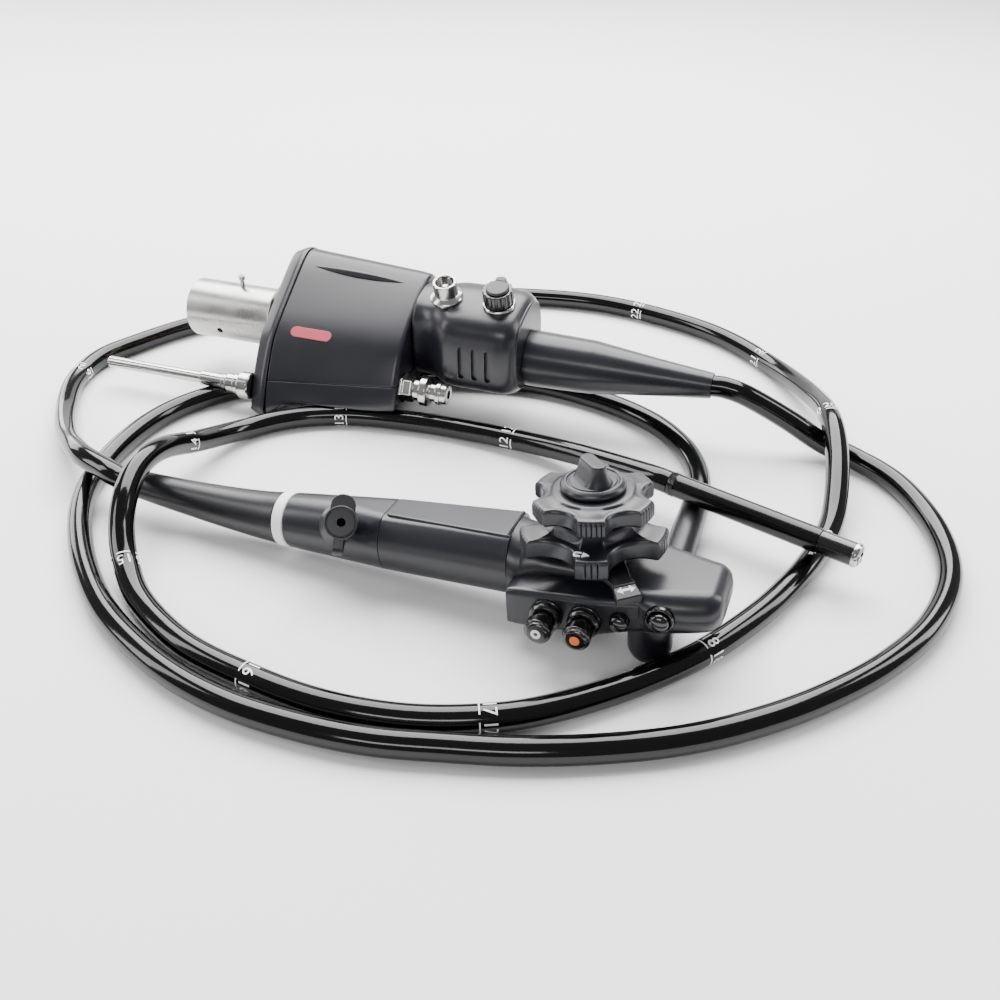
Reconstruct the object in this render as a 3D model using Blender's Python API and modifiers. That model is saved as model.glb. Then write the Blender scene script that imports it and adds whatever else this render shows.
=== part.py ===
"""Flexible video endoscope, laid on a bench: control body, insertion tube with its bending
section, umbilical cable and light-source connector. Metres, +Z up."""

import math

import bmesh
import bpy
from mathutils import Vector

MM = 0.001
GAP = 0.3 * MM

# Where the two housings lie on the bench
ORIGIN = Vector((-35.5 * MM, 19.95 * MM, 0.0))
CONNECTOR_AT = Vector((-125.2 * MM, 135.9 * MM, 36.0 * MM))
CONNECTOR_YAW = -19.0
BODY_AT = Vector((-100.7 * MM, -37.8 * MM, 16.0 * MM))
BODY_YAW = -20.0
BODY_PITCH = -5.0
BODY_ROLL = -4.0

# Light-source connector
PLATE_THICKNESS = 10.0 * MM
HOUSING_LENGTH = 76.0 * MM
REAR_GRIP_LENGTH = 63.0 * MM
BARREL_DIAMETER = 34.0 * MM
BARREL_WALL = 1.5 * MM
BARREL_LENGTH = 54.0 * MM
BARREL_FLANGE_DIAMETER = 38.0 * MM
BARREL_FLANGE_LENGTH = 5.0 * MM
CONTACT_BLOCK_RECESS = 14.0 * MM
CONTACT_PIN_DIAMETER = 1.5 * MM
CONTACT_PIN_LENGTH = 5.0 * MM
CONTACT_PIN_PITCH = 4.6 * MM
LIGHT_ROD_Y = -47.0 * MM
LIGHT_ROD_Z = -20.8 * MM
LIGHT_ROD_LENGTH = 96.0 * MM
LIGHT_ROD_DIAMETER = 6.0 * MM
LIGHT_COLLAR_DIAMETER = 9.6 * MM
LIGHT_FLANGE_DIAMETER = 14.0 * MM
PORT_TILT = 16.5
VENT_PORT_X = 105.0 * MM
CAPPED_PORT_X = 135.0 * MM
PORT_Y = -8.5 * MM
PORT_FLANGE_DIAMETER = 18.0 * MM
PORT_FLANGE_HEIGHT = 2.2 * MM
PORT_BARREL_DIAMETER = 13.0 * MM
PORT_HEIGHT = 11.0 * MM
CAP_DIAMETER = 16.5 * MM
CAP_HEIGHT = 12.0 * MM
FITTING_Y = -32.0 * MM
FITTING_Z = -13.5 * MM
FITTING_HEX_DIAMETER = 17.0 * MM
FITTING_NOZZLE_DIAMETER = 12.5 * MM
FITTING_LENGTH = 26.0 * MM
CONNECTOR_BOOT_LENGTH = 100.0 * MM
CONNECTOR_BOOT_RADIUS = 14.8 * MM

# Flexible tubes
INSERTION_TUBE_DIAMETER = 11.6 * MM
UMBILICAL_DIAMETER = 11.6 * MM
BOOT_TIP_WALL = 0.9 * MM

# Control body
INSERTION_BOOT_LENGTH = 82.0 * MM
INSERTION_BOOT_RISE = 8.0 * MM
INSERTION_BOOT_RADIUS = 12.4 * MM
COLOUR_RING_WIDTH = 5.5 * MM
COLOUR_RING_RADIUS = 12.9 * MM
DISTAL_GRIP_LENGTH = 50.0 * MM
DISTAL_GRIP_END_RADIUS = 16.2 * MM
GRIP_LENGTH = 60.0 * MM
GRIP_END_RADIUS = 18.0 * MM
GRIP_FLAT_HEIGHT = 14.0 * MM
TOP_PANEL_WIDTH = 24.0 * MM
TOP_PANEL_THICKNESS = 1.6 * MM
HEAD_LENGTH = 91.0 * MM
HEAD_TOP = 6.0 * MM
HEAD_UNDERSIDE = -12.6 * MM
HEAD_WALL = 2.4 * MM
HEAD_COVER_THICKNESS = 2.0 * MM

# Channel port
CHANNEL_PORT_X = 31.0 * MM
CHANNEL_PORT_DIRECTION = Vector((0.42, -0.72, 0.55)).normalized()
CHANNEL_NECK_RADIUS = 6.4 * MM
CHANNEL_NECK_LENGTH = 11.0 * MM
CHANNEL_SEAT = 12.0 * MM
CHANNEL_BORE_RADIUS = 2.4 * MM
BIOPSY_VALVE_RADIUS = 7.0 * MM
BIOPSY_VALVE_LENGTH = 5.0 * MM
BIOPSY_LID_THICKNESS = 2.6 * MM
BIOPSY_SLIT_RADIUS = 1.9 * MM
LID_STRAP_ANGLE = 255.0
LID_STRAP_REACH = 3.8 * MM
LID_TAB_REACH = 2.4 * MM

# Angulation controls
KNOB_X = 151.0 * MM
KNOB_Y = -3.0 * MM
UD_KNOB_RADIUS = 29.5 * MM
UD_KNOB_THICKNESS = 8.5 * MM
UD_KNOB_LOBES = 5
UD_KNOB_BOTTOM = 13.5 * MM
RL_KNOB_RADIUS = 26.0 * MM
RL_KNOB_THICKNESS = 9.0 * MM
RL_KNOB_LOBES = 6
RL_KNOB_BOTTOM = 29.5 * MM
LOCK_KNOB_RADIUS = 13.4 * MM
LOCK_KNOB_HEIGHT = 4.6 * MM
LOCK_BAR_HEIGHT = 8.0 * MM
LEVER_THICKNESS = 2.4 * MM
LEVER_LENGTH = 31.0 * MM
LEVER_ANGLE = -52.0
POST_RADIUS = 2.4 * MM
SHAFT_WALL = 1.2 * MM
SHAFT_CLEARANCE = 0.3 * MM
DRUM_RADIUS = 7.4 * MM
DRUM_THICKNESS = 4.0 * MM

# Valves and buttons
AIR_VALVE_X = 137.5 * MM
SUCTION_VALVE_X = 153.6 * MM
VALVE_Z = -9.5 * MM
VALVE_COLLAR_RADIUS = 6.8 * MM
VALVE_COLLAR_LENGTH = 5.5 * MM
VALVE_STEM_RADIUS = 4.3 * MM
VALVE_CAP_RADIUS = 5.7 * MM
VALVE_CAP_LENGTH = 5.5 * MM
VALVE_TRAVEL = 3.5 * MM
BUTTON_X = 168.0 * MM
BUTTON_Z = -7.0 * MM
BUTTON_RADIUS = 3.7 * MM
BUTTON_TRAVEL = 1.2 * MM
BUTTON_PROUD = 4.8 * MM
RING_BUTTON_X = 184.0 * MM
RING_BUTTON_Z = -2.5 * MM
RING_BUTTON_RADIUS = 4.3 * MM
RING_BEZEL_RADIUS = 5.8 * MM

# Elbow under the head and its boot
ELBOW_AT = Vector((62.0 * MM, -113.5 * MM, 8.6 * MM))
ELBOW_RADIUS = 8.6 * MM
ELBOW_ARM = 16.0 * MM
UMBILICAL_BOOT_LENGTH = 90.0 * MM
UMBILICAL_BOOT_YAW = 71.0

# Bending section
BENDING_START = Vector((83.0 * MM, -14.0 * MM, 19.6 * MM))
BENDING_YAW = -37.6
LINK_RADIUS = 5.2 * MM
LINK_WALL = 1.1 * MM
LINK_PITCH = 7.0 * MM
LINK_COUNT = 10
FIRST_PIVOT = 9.0 * MM
LINK_HEEL = 0.35 * MM
LINK_TOE = 2.3 * MM
HEEL_SLOPE = 0.12
TOE_SLOPE = 0.10
TAB_RADIUS = 1.9 * MM
EAR_RADIUS = 1.6 * MM
RIVET_RADIUS = 0.7 * MM
TIP_LENGTH = 23.0 * MM
TIP_RADIUS = 5.5 * MM

# Routes of the two flexible tubes over the bench, chosen by eye, in millimetres
INSERTION_ROUTE = [
    (-196, 0, 19), (-213, 15, 18.6), (-232, 46, 11), (-246, 82, 6), (-252, 116, 5.9), (-246, 145, 5.9),
    (-229, 166, 5.9), (-205, 188, 5.9), (-173, 208, 5.9), (-136, 223, 5.9), (-82, 235, 5.9), (-28, 239, 5.9),
    (24, 236, 5.9), (68, 226, 5.9), (108, 204, 5.9), (142, 174, 5.9), (166, 132, 6.5), (176, 84, 14), (175, 44, 21.6),
    (170, 8, 17), (160, -27, 8), (144, -55, 5.9), (123, -82, 5.9), (102, -103, 5.9), (78, -122, 5.9),
    (47, -139, 5.9), (15, -151, 5.9), (-12, -155, 5.9), (-40, -154, 5.9), (-70, -146.6, 5.9), (-99, -133.2, 5.9),
    (-130, -114, 5.9), (-155, -88, 6.2), (-167, -68, 10), (-173, -50, 19), (-174, -32, 28), (-172, -14, 31.2),
    (-167, 6, 27.5), (-158, 32, 15.5), (-142, 57, 7), (-118, 71, 5.9), (-88, 75, 5.9), (-56, 70, 5.9), (-22, 60, 6), (14, 43, 8),
    (41, 24, 12), (64, 3, 17),
]
UMBILICAL_ROUTE = [
    (131, 48.5, 32.5), (151, 45.5, 21.5), (171, 40, 9.9), (189, 27, 5.9), (203, 2, 5.9), (208, -34, 5.9), (202, -69, 5.9),
    (183, -101, 5.9), (156, -126, 5.9), (125, -145, 5.9), (95, -158, 5.9), (67, -166, 5.9), (37, -170, 5.9),
    (7, -171, 5.9), (-22, -169, 5.9), (-49, -166, 5.9), (-76, -159, 5.9), (-104, -148, 5.9), (-129, -133, 5.9),
    (-151, -114, 5.9), (-172, -90, 5.9), (-189, -61, 5.9), (-201, -32, 5.9), (-207, -8, 5.9), (-208, 14, 5.9),
    (-204, 41, 5.9), (-195, 66, 5.9), (-182, 85, 5.9), (-164, 99.6, 5.9), (-145, 108.5, 5.9), (-110, 116, 5.9),
    (-70, 120, 5.9), (-30, 121, 5.9), (20, 112, 5.9), (58, 92, 5.9), (84, 68, 5.9), (98, 42, 5.9), (102, 18, 6.3),
]

MATERIALS = {
    "satin_black": ((0.045, 0.046, 0.052), 0.38, 0.0),
    "gloss_black": ((0.012, 0.012, 0.014), 0.12, 0.0),
    "rubber_black": ((0.02, 0.02, 0.022), 0.6, 0.0),
    "soft_grey": ((0.10, 0.10, 0.115), 0.45, 0.0),
    "steel": ((0.62, 0.61, 0.60), 0.28, 1.0),
    "gold": ((0.83, 0.62, 0.25), 0.25, 1.0),
    "white": ((0.85, 0.85, 0.85), 0.45, 0.0),
    "glass": ((0.75, 0.82, 0.88), 0.05, 0.0),
}


def clear_scene():
    for item in list(bpy.data.objects):
        bpy.data.objects.remove(item, do_unlink=True)


def make_collection(name):
    collection = bpy.data.collections.new(name)
    bpy.context.scene.collection.children.link(collection)
    return collection


def make_material(name):
    colour, roughness, metallic = MATERIALS[name]
    material = bpy.data.materials.new(name)
    material.use_nodes = True
    shader = material.node_tree.nodes["Principled BSDF"]
    shader.inputs["Base Color"].default_value = (*colour, 1.0)
    shader.inputs["Roughness"].default_value = roughness
    shader.inputs["Metallic"].default_value = metallic
    return material


def make_frame(name, location, yaw=0.0, pitch=0.0, roll=0.0, parent=None):
    """An empty that carries pieces: roll about X, then pitch about Y, then yaw about Z."""
    empty = bpy.data.objects.new(name, None)
    empty.location = location
    empty.rotation_euler = [math.radians(angle) for angle in (roll, pitch, yaw)]
    empty.parent = parent
    PIECES.objects.link(empty)
    return empty


def place(item, location, direction):
    """Puts a piece's own Z axis along the direction."""
    item.location = location
    item.rotation_euler = Vector(direction).to_track_quat("Z", "Y").to_euler()
    return item


def add_object(name, data, material, parent):
    item = bpy.data.objects.new(name, data)
    item.parent = parent
    if material is None:
        CUTTERS.objects.link(item)
        item.hide_render = True
        item.display_type = "WIRE"
    else:
        PIECES.objects.link(item)
        data.materials.append(SHADES[material])
    return item


def mesh_object(name, bm, material, parent, smooth=True):
    mesh = bpy.data.meshes.new(name)
    bmesh.ops.recalc_face_normals(bm, faces=bm.faces)
    bm.to_mesh(mesh)
    bm.free()
    if smooth:
        mesh.shade_smooth()
        mesh.set_sharp_from_angle(angle=math.radians(35))
    return add_object(name, mesh, material, parent)


def turned(name, profile, location, direction, material, parent, steps=16, ring=False):
    """A turned piece: (radius, height) from the top down its outer side; a ring closes on itself."""
    mesh = bpy.data.meshes.new(name)
    count = len(profile)
    edges = [(i, i + 1) for i in range(count - 1)]
    if ring:
        edges.append((count - 1, 0))
    mesh.from_pydata([(radius, 0.0, height) for radius, height in profile], edges, [])
    item = add_object(name, mesh, material, parent)
    screw = item.modifiers.new("turn", "SCREW")
    screw.steps = steps
    screw.render_steps = steps
    screw.use_merge_vertices = True
    screw.merge_threshold = 0.00001
    return place(item, location, direction)


def rod_profile(radius, bottom, top, chamfer=0.0):
    """Profile of a plain cylinder with chamfered ends."""
    if chamfer == 0.0:
        return [(0, top), (radius, top), (radius, bottom), (0, bottom)]
    return [(0, top), (radius - chamfer, top), (radius, top - chamfer), (radius, bottom + chamfer),
            (radius - chamfer, bottom), (0, bottom)]


def ring_profile(outer, inner, bottom, top):
    return [(inner, top), (outer, top), (outer, bottom), (inner, bottom)]


def loft(name, rings, material, parent):
    """A closed skin through rings of as many points each."""
    bm = bmesh.new()
    loops = [[bm.verts.new(point) for point in ring] for ring in rings]
    count = len(loops[0])
    for near, far in zip(loops, loops[1:]):
        for i in range(count):
            j = (i + 1) % count
            bm.faces.new((near[i], near[j], far[j], far[i]))
    bm.faces.new(loops[0])
    bm.faces.new(loops[-1])
    return mesh_object(name, bm, material, parent)


def prism(name, outline, bottom, top, material, parent):
    """An outline in X and Y, extruded along Z."""
    bm = bmesh.new()
    face = bm.faces.new([bm.verts.new((x, y, bottom)) for x, y in outline])
    raised = bmesh.ops.extrude_face_region(bm, geom=[face])["geom"]
    verts = [element for element in raised if isinstance(element, bmesh.types.BMVert)]
    bmesh.ops.translate(bm, verts=verts, vec=(0, 0, top - bottom))
    return mesh_object(name, bm, material, parent)


def box(name, low, high, material, parent):
    bm = bmesh.new()
    bmesh.ops.create_cube(bm, size=1.0)
    for vert in bm.verts:
        vert.co = [low[i] if vert.co[i] < 0 else high[i] for i in range(3)]
    return mesh_object(name, bm, material, parent, smooth=False)


def tube(name, points, radii, material, parent, resolution=2):
    """A round tube along points, its radius read at each point."""
    curve = bpy.data.curves.new(name, "CURVE")
    curve.dimensions = "3D"
    curve.bevel_depth = MM
    curve.bevel_resolution = resolution
    curve.use_fill_caps = True
    spline = curve.splines.new("POLY")
    spline.points.add(len(points) - 1)
    for target, point, radius in zip(spline.points, points, radii):
        target.co = (*point, 1.0)
        target.radius = radius / MM
    spline.use_smooth = True
    return add_object(name, curve, material, parent)


def bevel(item, width, segments=1, angle=30.0):
    modifier = item.modifiers.new("edge", "BEVEL")
    modifier.width = width
    modifier.segments = segments
    modifier.limit_method = "ANGLE"
    modifier.angle_limit = math.radians(angle)
    return item


def boolean(item, other, operation="DIFFERENCE"):
    modifier = item.modifiers.new(operation.lower(), "BOOLEAN")
    modifier.operation = operation
    modifier.object = other
    return item


def smooth_route(route, spacing, lowest):
    """Points at about the given spacing on a smooth curve through the route's points, none too low."""
    knots = [route[0] * 2 - route[1], *route, route[-1] * 2 - route[-2]]
    samples = []
    for a, b, c, d in zip(knots, knots[1:], knots[2:], knots[3:]):
        count = max(1, round((c - b).length / spacing))
        for i in range(count):
            t = i / count
            samples.append(0.5 * (2 * b + (c - a) * t + (2 * a - 5 * b + 4 * c - d) * t ** 2
                                  + (3 * b - a - 3 * c + d) * t ** 3))
    return [Vector((point.x, point.y, max(point.z, lowest))) for point in (*samples, route[-1])]


def blend(first, last, share):
    return first + (last - first) * share


def rounded_ring(x, near, far, bottom, top, corner):
    """A rounded rectangle in the plane X = x, three points to a corner."""
    points = []
    for y, z, start in ((far, top, 0), (near, top, 90), (near, bottom, 180), (far, bottom, 270)):
        centre_y = y - math.copysign(corner, y - (near + far) / 2)
        centre_z = z - math.copysign(corner, z - (bottom + top) / 2)
        for step in range(3):
            angle = math.radians(start + 45 * step)
            points.append((x, centre_y + corner * math.cos(angle), centre_z + corner * math.sin(angle)))
    return points


def oval_ring(x, half_width, half_height, flat_top, count=28):
    """An oval in the plane X = x, with its top cut flat."""
    points = []
    for step in range(count):
        angle = math.tau * (step + 0.5) / count
        points.append((x, half_width * math.cos(angle), min(half_height * math.sin(angle), flat_top)))
    return points


def lobed_outline(radius, lobes, waist, start, points_per_lobe=14, rib=0.45 * MM):
    """A hand wheel's outline: broad lobes with ribbed ends, waisted between them."""
    outline = []
    count = lobes * points_per_lobe
    for step in range(count):
        turn = step / points_per_lobe
        phase = turn - round(turn)
        crest = min(1.0, max(0.0, (math.cos(math.tau * phase) + 0.35) / 1.0))
        reach = crest * crest * (3 - 2 * crest)
        ribbed = rib * (step % 2) if abs(phase) < 0.16 else 0.0
        length = waist + (radius - waist) * reach - ribbed
        angle = math.radians(start) + math.tau * step / count
        outline.append((length * math.cos(angle), length * math.sin(angle)))
    return outline


# The end plate's outline and the housing's far section, looking along the connector towards the
# boot: lateral and height from the barrel's axis. The nose at the low near corner holds the light rod.
PLATE_SECTION = [(y * MM, z * MM) for y, z in (
    (-57, -33), (-53, -22), (-48, -12), (-37, 5), (-29, 12), (-11, 24), (10, 38), (19, 39.5), (28, 35),
    (36, 22), (38, 6), (37, -9), (31, -18), (20, -22), (0, -23.2), (-24, -23.7), (-33, -24.2), (-38, -30),
    (-42, -35.7), (-53, -35.7))]
HOUSING_END_SECTION = [(y * MM, z * MM) for y, z in (
    (-45, -22), (-43.5, -15), (-41, -8), (-33, 5), (-26, 12), (-8, 24), (9, 33.5), (17, 34.5), (25, 30),
    (31, 19), (33, 5), (32, -8), (27, -16), (17, -19), (0, -20), (-20, -20.5), (-28, -21), (-33, -22.5),
    (-37, -24), (-43, -24))]
HOUSING_FRONT = PLATE_THICKNESS + GAP
HOUSING_BACK = HOUSING_FRONT + HOUSING_LENGTH
SEAM_FRONT_Z = -15.0 * MM
SEAM_BACK_Z = -9.5 * MM
NOSE_END = 24.0 * MM
UNDERSIDE_Z = -24.0 * MM


def housing_section(x):
    """The outline at a place along the housing. The nose that holds the light rod ends at NOSE_END."""
    share = x / HOUSING_BACK
    lift = min(1.0, (x - HOUSING_FRONT) / (NOSE_END - HOUSING_FRONT))
    section = []
    for a, b in zip(PLATE_SECTION, HOUSING_END_SECTION):
        z = blend(a[1], b[1], share)
        section.append((x, blend(a[0], b[0], share), blend(z, max(z, UNDERSIDE_Z), lift)))
    return section


def halved(name, rings, material, parent, plane_at, plane_normal):
    """The part of a loft behind a plane, closed again where the plane cuts it."""
    item = loft(name, rings, material, parent)
    bm = bmesh.new()
    bm.from_mesh(item.data)
    geometry = [*bm.verts, *bm.edges, *bm.faces]
    bmesh.ops.bisect_plane(bm, geom=geometry, dist=0.000001, plane_co=plane_at, plane_no=plane_normal,
                           clear_outer=True)
    rim = [edge for edge in bm.edges if edge.is_boundary]
    bmesh.ops.contextual_create(bm, geom=rim)
    bmesh.ops.recalc_face_normals(bm, faces=bm.faces)
    bm.to_mesh(item.data)
    bm.free()
    return item


def build_end_plate(frame):
    plate = loft("connector_end_plate",
                 [[(x, y, z) for y, z in PLATE_SECTION] for x in (0.0, PLATE_THICKNESS)],
                 "satin_black", frame)
    return bevel(plate, 1.2 * MM)


def build_housing(frame):
    """The upper shell and the base below it, parted along a seam that drops towards the end plate."""
    rings = [housing_section(x) for x in (HOUSING_FRONT, NOSE_END, blend(NOSE_END, HOUSING_BACK, 0.5), HOUSING_BACK)]
    slope = (SEAM_BACK_Z - SEAM_FRONT_Z) / HOUSING_BACK
    up = Vector((-slope, 0, 1)).normalized()
    seam = Vector((0, 0, SEAM_FRONT_Z))
    housing = halved("connector_housing", rings, "satin_black", frame, seam + up * GAP / 2, -up)
    bevel(housing, 1.6 * MM)
    base = halved("connector_base", rings, "satin_black", frame, seam - up * GAP / 2, up)
    bevel(base, 0.8 * MM)
    groove = box("groove_cutter", (-24 * MM, -0.8 * MM, -0.8 * MM), (24 * MM, 0.8 * MM, 0.8 * MM), None, frame)
    start = Vector(housing_section(24 * MM)[5]).lerp(Vector(housing_section(24 * MM)[6]), 0.55)
    end = Vector(housing_section(72 * MM)[5]).lerp(Vector(housing_section(72 * MM)[6]), 0.55)
    groove.location = (start + end) / 2
    groove.rotation_euler = (end - start).to_track_quat("X", "Z").to_euler()
    boolean(housing, groove)


def build_barrel(frame):
    """The plug's steel barrel, its flange, and the contacts inside it. The axis runs along -X."""
    forward = (-1, 0, 0)
    radius = BARREL_DIAMETER / 2
    flange_radius = BARREL_FLANGE_DIAMETER / 2
    barrel_base = GAP + BARREL_FLANGE_LENGTH + GAP
    mouth = barrel_base + BARREL_LENGTH
    inner = radius - BARREL_WALL
    turned("barrel_flange", [(0, GAP + BARREL_FLANGE_LENGTH), (flange_radius - 1.2 * MM, GAP + BARREL_FLANGE_LENGTH),
                             (flange_radius, GAP + BARREL_FLANGE_LENGTH - 1.2 * MM), (flange_radius, GAP), (0, GAP)],
           (0, 0, 0), forward, "steel", frame, steps=24)
    turned("electrical_barrel", [(inner, mouth), (radius - 0.4 * MM, mouth), (radius, mouth - 0.4 * MM),
                                 (radius, barrel_base), (inner, barrel_base)],
           (0, 0, 0), forward, "steel", frame, steps=24, ring=True)
    face = mouth - CONTACT_BLOCK_RECESS
    turned("contact_block", rod_profile(inner - GAP, barrel_base, face, 0.8 * MM), (0, 0, 0), forward,
           "gloss_black", frame)
    carrier = turned("contact_pins", rod_profile(inner - 2.5 * MM, face + GAP, face + GAP + 0.8 * MM, 0.2 * MM),
                     (0, 0, 0), forward, "gold", frame)
    bm = bmesh.new()
    rows = range(-2, 3)
    for row in rows:
        for column in range(5 - abs(row)):
            y = (column - (4 - abs(row)) / 2) * CONTACT_PIN_PITCH
            z = row * CONTACT_PIN_PITCH * math.sqrt(3) / 2
            pin = bmesh.ops.create_cone(bm, cap_ends=True, segments=6, radius1=CONTACT_PIN_DIAMETER / 2,
                                        radius2=CONTACT_PIN_DIAMETER / 2, depth=CONTACT_PIN_LENGTH)
            bmesh.ops.translate(bm, verts=pin["verts"], vec=(y, z, face + 2 * GAP + CONTACT_PIN_LENGTH / 2))
    pins = mesh_object("pin_group", bm, None, frame)
    boolean(carrier, place(pins, (0, 0, 0), forward), "UNION")
    key_x = -barrel_base - BARREL_LENGTH * 0.42
    turned("barrel_key_pin", [(0, 7 * MM), (1.6 * MM, 7 * MM), (2.0 * MM, 6.4 * MM), (2.0 * MM, 4.6 * MM),
                              (1.3 * MM, 4 * MM), (1.3 * MM, GAP), (0, GAP)],
           (key_x, 0, radius), (0, 0, 1), "steel", frame, steps=16)


def build_light_rod(frame):
    """The light-guide prong: a stepped steel rod with a glass end and a collar, on a base flange."""
    at = (0, LIGHT_ROD_Y, LIGHT_ROD_Z)
    forward = (-1, 0, 0)
    flange_end = 7.5 * MM
    collar_end = 15.0 * MM
    radius = LIGHT_ROD_DIAMETER / 2
    step_at = LIGHT_ROD_LENGTH * 0.45
    turned("light_guide_flange", rod_profile(LIGHT_FLANGE_DIAMETER / 2, GAP, flange_end, 0.7 * MM), at, forward,
           "steel", frame)
    turned("light_guide_rod", [(0, LIGHT_ROD_LENGTH), (radius - 0.8 * MM, LIGHT_ROD_LENGTH),
                               (radius - 0.5 * MM, LIGHT_ROD_LENGTH - 0.3 * MM),
                               (radius - 0.5 * MM, step_at + 0.5 * MM), (radius, step_at),
                               (radius, collar_end + 3 * MM), (radius + 0.8 * MM, collar_end + 2.4 * MM),
                               (radius + 0.8 * MM, collar_end), (LIGHT_COLLAR_DIAMETER / 2 - 0.6 * MM, collar_end),
                               (LIGHT_COLLAR_DIAMETER / 2, collar_end - 0.6 * MM),
                               (LIGHT_COLLAR_DIAMETER / 2, flange_end + GAP), (0, flange_end + GAP)],
           at, forward, "steel", frame)


REAR_START = HOUSING_BACK + GAP
REAR_END = REAR_START + REAR_GRIP_LENGTH
REAR_SECTION = [(y * MM, z * MM) for y, z in (
    (-27, -8), (-28, 6), (-27, 22), (-20, 29.5), (-6, 33.6), (6, 35), (16, 33), (24, 25), (27, 10), (25, -6),
    (16, -16), (0, -19), (-14, -17.5), (-23, -13))]


def build_rear_grip(frame):
    """The rear grip behind the housing: a shoulder, a broad body with finger grooves, a chamfered end."""
    rings = []
    for share, near, size in ((0.0, 0.62, 0.92), (0.16, 0.66, 0.93), (0.36, 1.0, 1.0), (0.9, 1.0, 0.99),
                              (1.0, 0.84, 0.86)):
        x = blend(REAR_START, REAR_END, share)
        rings.append([(x, y * (near if y < 0 else size), 4 * MM + (z - 4 * MM) * size) for y, z in REAR_SECTION])
    grip = loft("connector_rear_grip", rings, "satin_black", frame)
    bevel(grip, 1.6 * MM)
    near_side = min(point[0] for point in REAR_SECTION)
    for number in range(3):
        x = blend(REAR_START, REAR_END, 0.52 + 0.12 * number)
        slot = box(f"slot_cutter_{number}", (x - 0.7 * MM, near_side - 2 * MM, -6 * MM),
                   (x + 0.7 * MM, near_side + 1.3 * MM, 17 * MM), None, frame)
        boolean(grip, slot)
    return grip


def build_ports(frame, grip):
    """The open vent port and the capped port on the sloping top of the rear grip."""
    tilt = math.radians(PORT_TILT)
    up = Vector((0, -math.sin(tilt), math.cos(tilt)))
    ports = []
    for name, x in (("vent", VENT_PORT_X), ("capped", CAPPED_PORT_X)):
        seat = Vector((x, PORT_Y, 32.4 * MM))
        well = turned(f"{name}_port_cutter", rod_profile(PORT_FLANGE_DIAMETER / 2 + GAP, 0, 9 * MM), seat, up, None,
                      frame)
        boolean(grip, well)
        ports.append(seat + up * GAP)
    barrel = PORT_BARREL_DIAMETER / 2
    flange = PORT_FLANGE_DIAMETER / 2
    turned("vent_port", [(0, PORT_HEIGHT - 2.5 * MM), (1.3 * MM, PORT_HEIGHT - 2.5 * MM), (1.3 * MM, 3 * MM),
                         (barrel - 1.6 * MM, 3 * MM), (barrel - 1.6 * MM, PORT_HEIGHT), (barrel, PORT_HEIGHT),
                         (barrel, PORT_FLANGE_HEIGHT + 1 * MM), (flange - 0.8 * MM, PORT_FLANGE_HEIGHT),
                         (flange, PORT_FLANGE_HEIGHT - 0.8 * MM), (flange, 0), (0, 0)],
           ports[0], up, "steel", frame)
    turned("capped_port_ring", [(0, PORT_FLANGE_HEIGHT), (flange - 0.6 * MM, PORT_FLANGE_HEIGHT),
                                (flange, PORT_FLANGE_HEIGHT - 0.6 * MM), (flange, 0), (0, 0)],
           ports[1], up, "steel", frame)
    cap_radius = CAP_DIAMETER / 2
    outline = []
    for step in range(48):
        length = cap_radius - (0.5 * MM if step % 4 < 2 else 0.0)
        outline.append((length * math.cos(math.tau * step / 48), length * math.sin(math.tau * step / 48)))
    cap = prism("port_cap", outline, PORT_FLANGE_HEIGHT + GAP, CAP_HEIGHT, "rubber_black", frame)
    place(cap, ports[1], up)
    bevel(cap, 0.7 * MM, angle=50)
    nub = box("port_cap_nub", (-2.2 * MM, -1.2 * MM, CAP_HEIGHT - 1 * MM), (2.2 * MM, 1.2 * MM, CAP_HEIGHT + 4 * MM),
              None, frame)
    place(nub, ports[1], up)
    boolean(cap, nub, "UNION")


def build_fitting(frame):
    """The stepped steel fitting for the water bottle's tube, on the housing's end face."""
    at = (HOUSING_BACK, FITTING_Y, FITTING_Z)
    hex_radius = FITTING_HEX_DIAMETER / 2
    nozzle = FITTING_NOZZLE_DIAMETER / 2
    base = 8.0 * MM
    turned("bottle_fitting_base", [(0, base), (hex_radius - 2 * MM, base), (hex_radius - 1 * MM, base - 1 * MM),
                                   (hex_radius - 1 * MM, 2.4 * MM), (hex_radius, 2 * MM), (hex_radius, GAP), (0, GAP)],
           at, (1, 0, 0), "steel", frame, steps=6)
    mouth = FITTING_LENGTH
    turned("bottle_fitting_nozzle", [(0, mouth - 6 * MM), (2.4 * MM, mouth - 6 * MM),
                                     (2.4 * MM, mouth), (nozzle - 0.6 * MM, mouth),
                                     (nozzle, mouth - 0.6 * MM), (nozzle, mouth - 9 * MM),
                                     (nozzle - 1.8 * MM, mouth - 10 * MM), (nozzle - 1.8 * MM, base + 4 * MM),
                                     (nozzle, base + 3 * MM), (nozzle, base + GAP), (0, base + GAP)],
           at, (1, 0, 0), "steel", frame)


def build_connector_boot(frame):
    """The long ribbed strain relief, straight out of the rear grip."""
    start = REAR_END + GAP
    tip = UMBILICAL_DIAMETER / 2 + BOOT_TIP_WALL
    points = []
    radii = []
    for share, radius in ((0.0, CONNECTOR_BOOT_RADIUS), (0.06, CONNECTOR_BOOT_RADIUS),
                          (0.3, blend(CONNECTOR_BOOT_RADIUS, tip, 0.28)), (0.42, blend(CONNECTOR_BOOT_RADIUS, tip, 0.32)),
                          (0.44, blend(CONNECTOR_BOOT_RADIUS, tip, 0.42)), (0.75, blend(CONNECTOR_BOOT_RADIUS, tip, 0.8)),
                          (0.98, tip), (1.0, tip - 0.4 * MM)):
        points.append((start + CONNECTOR_BOOT_LENGTH * share, 0, 0))
        radii.append(radius)
    tube("connector_boot", points, radii, "gloss_black", frame, resolution=6)


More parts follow.
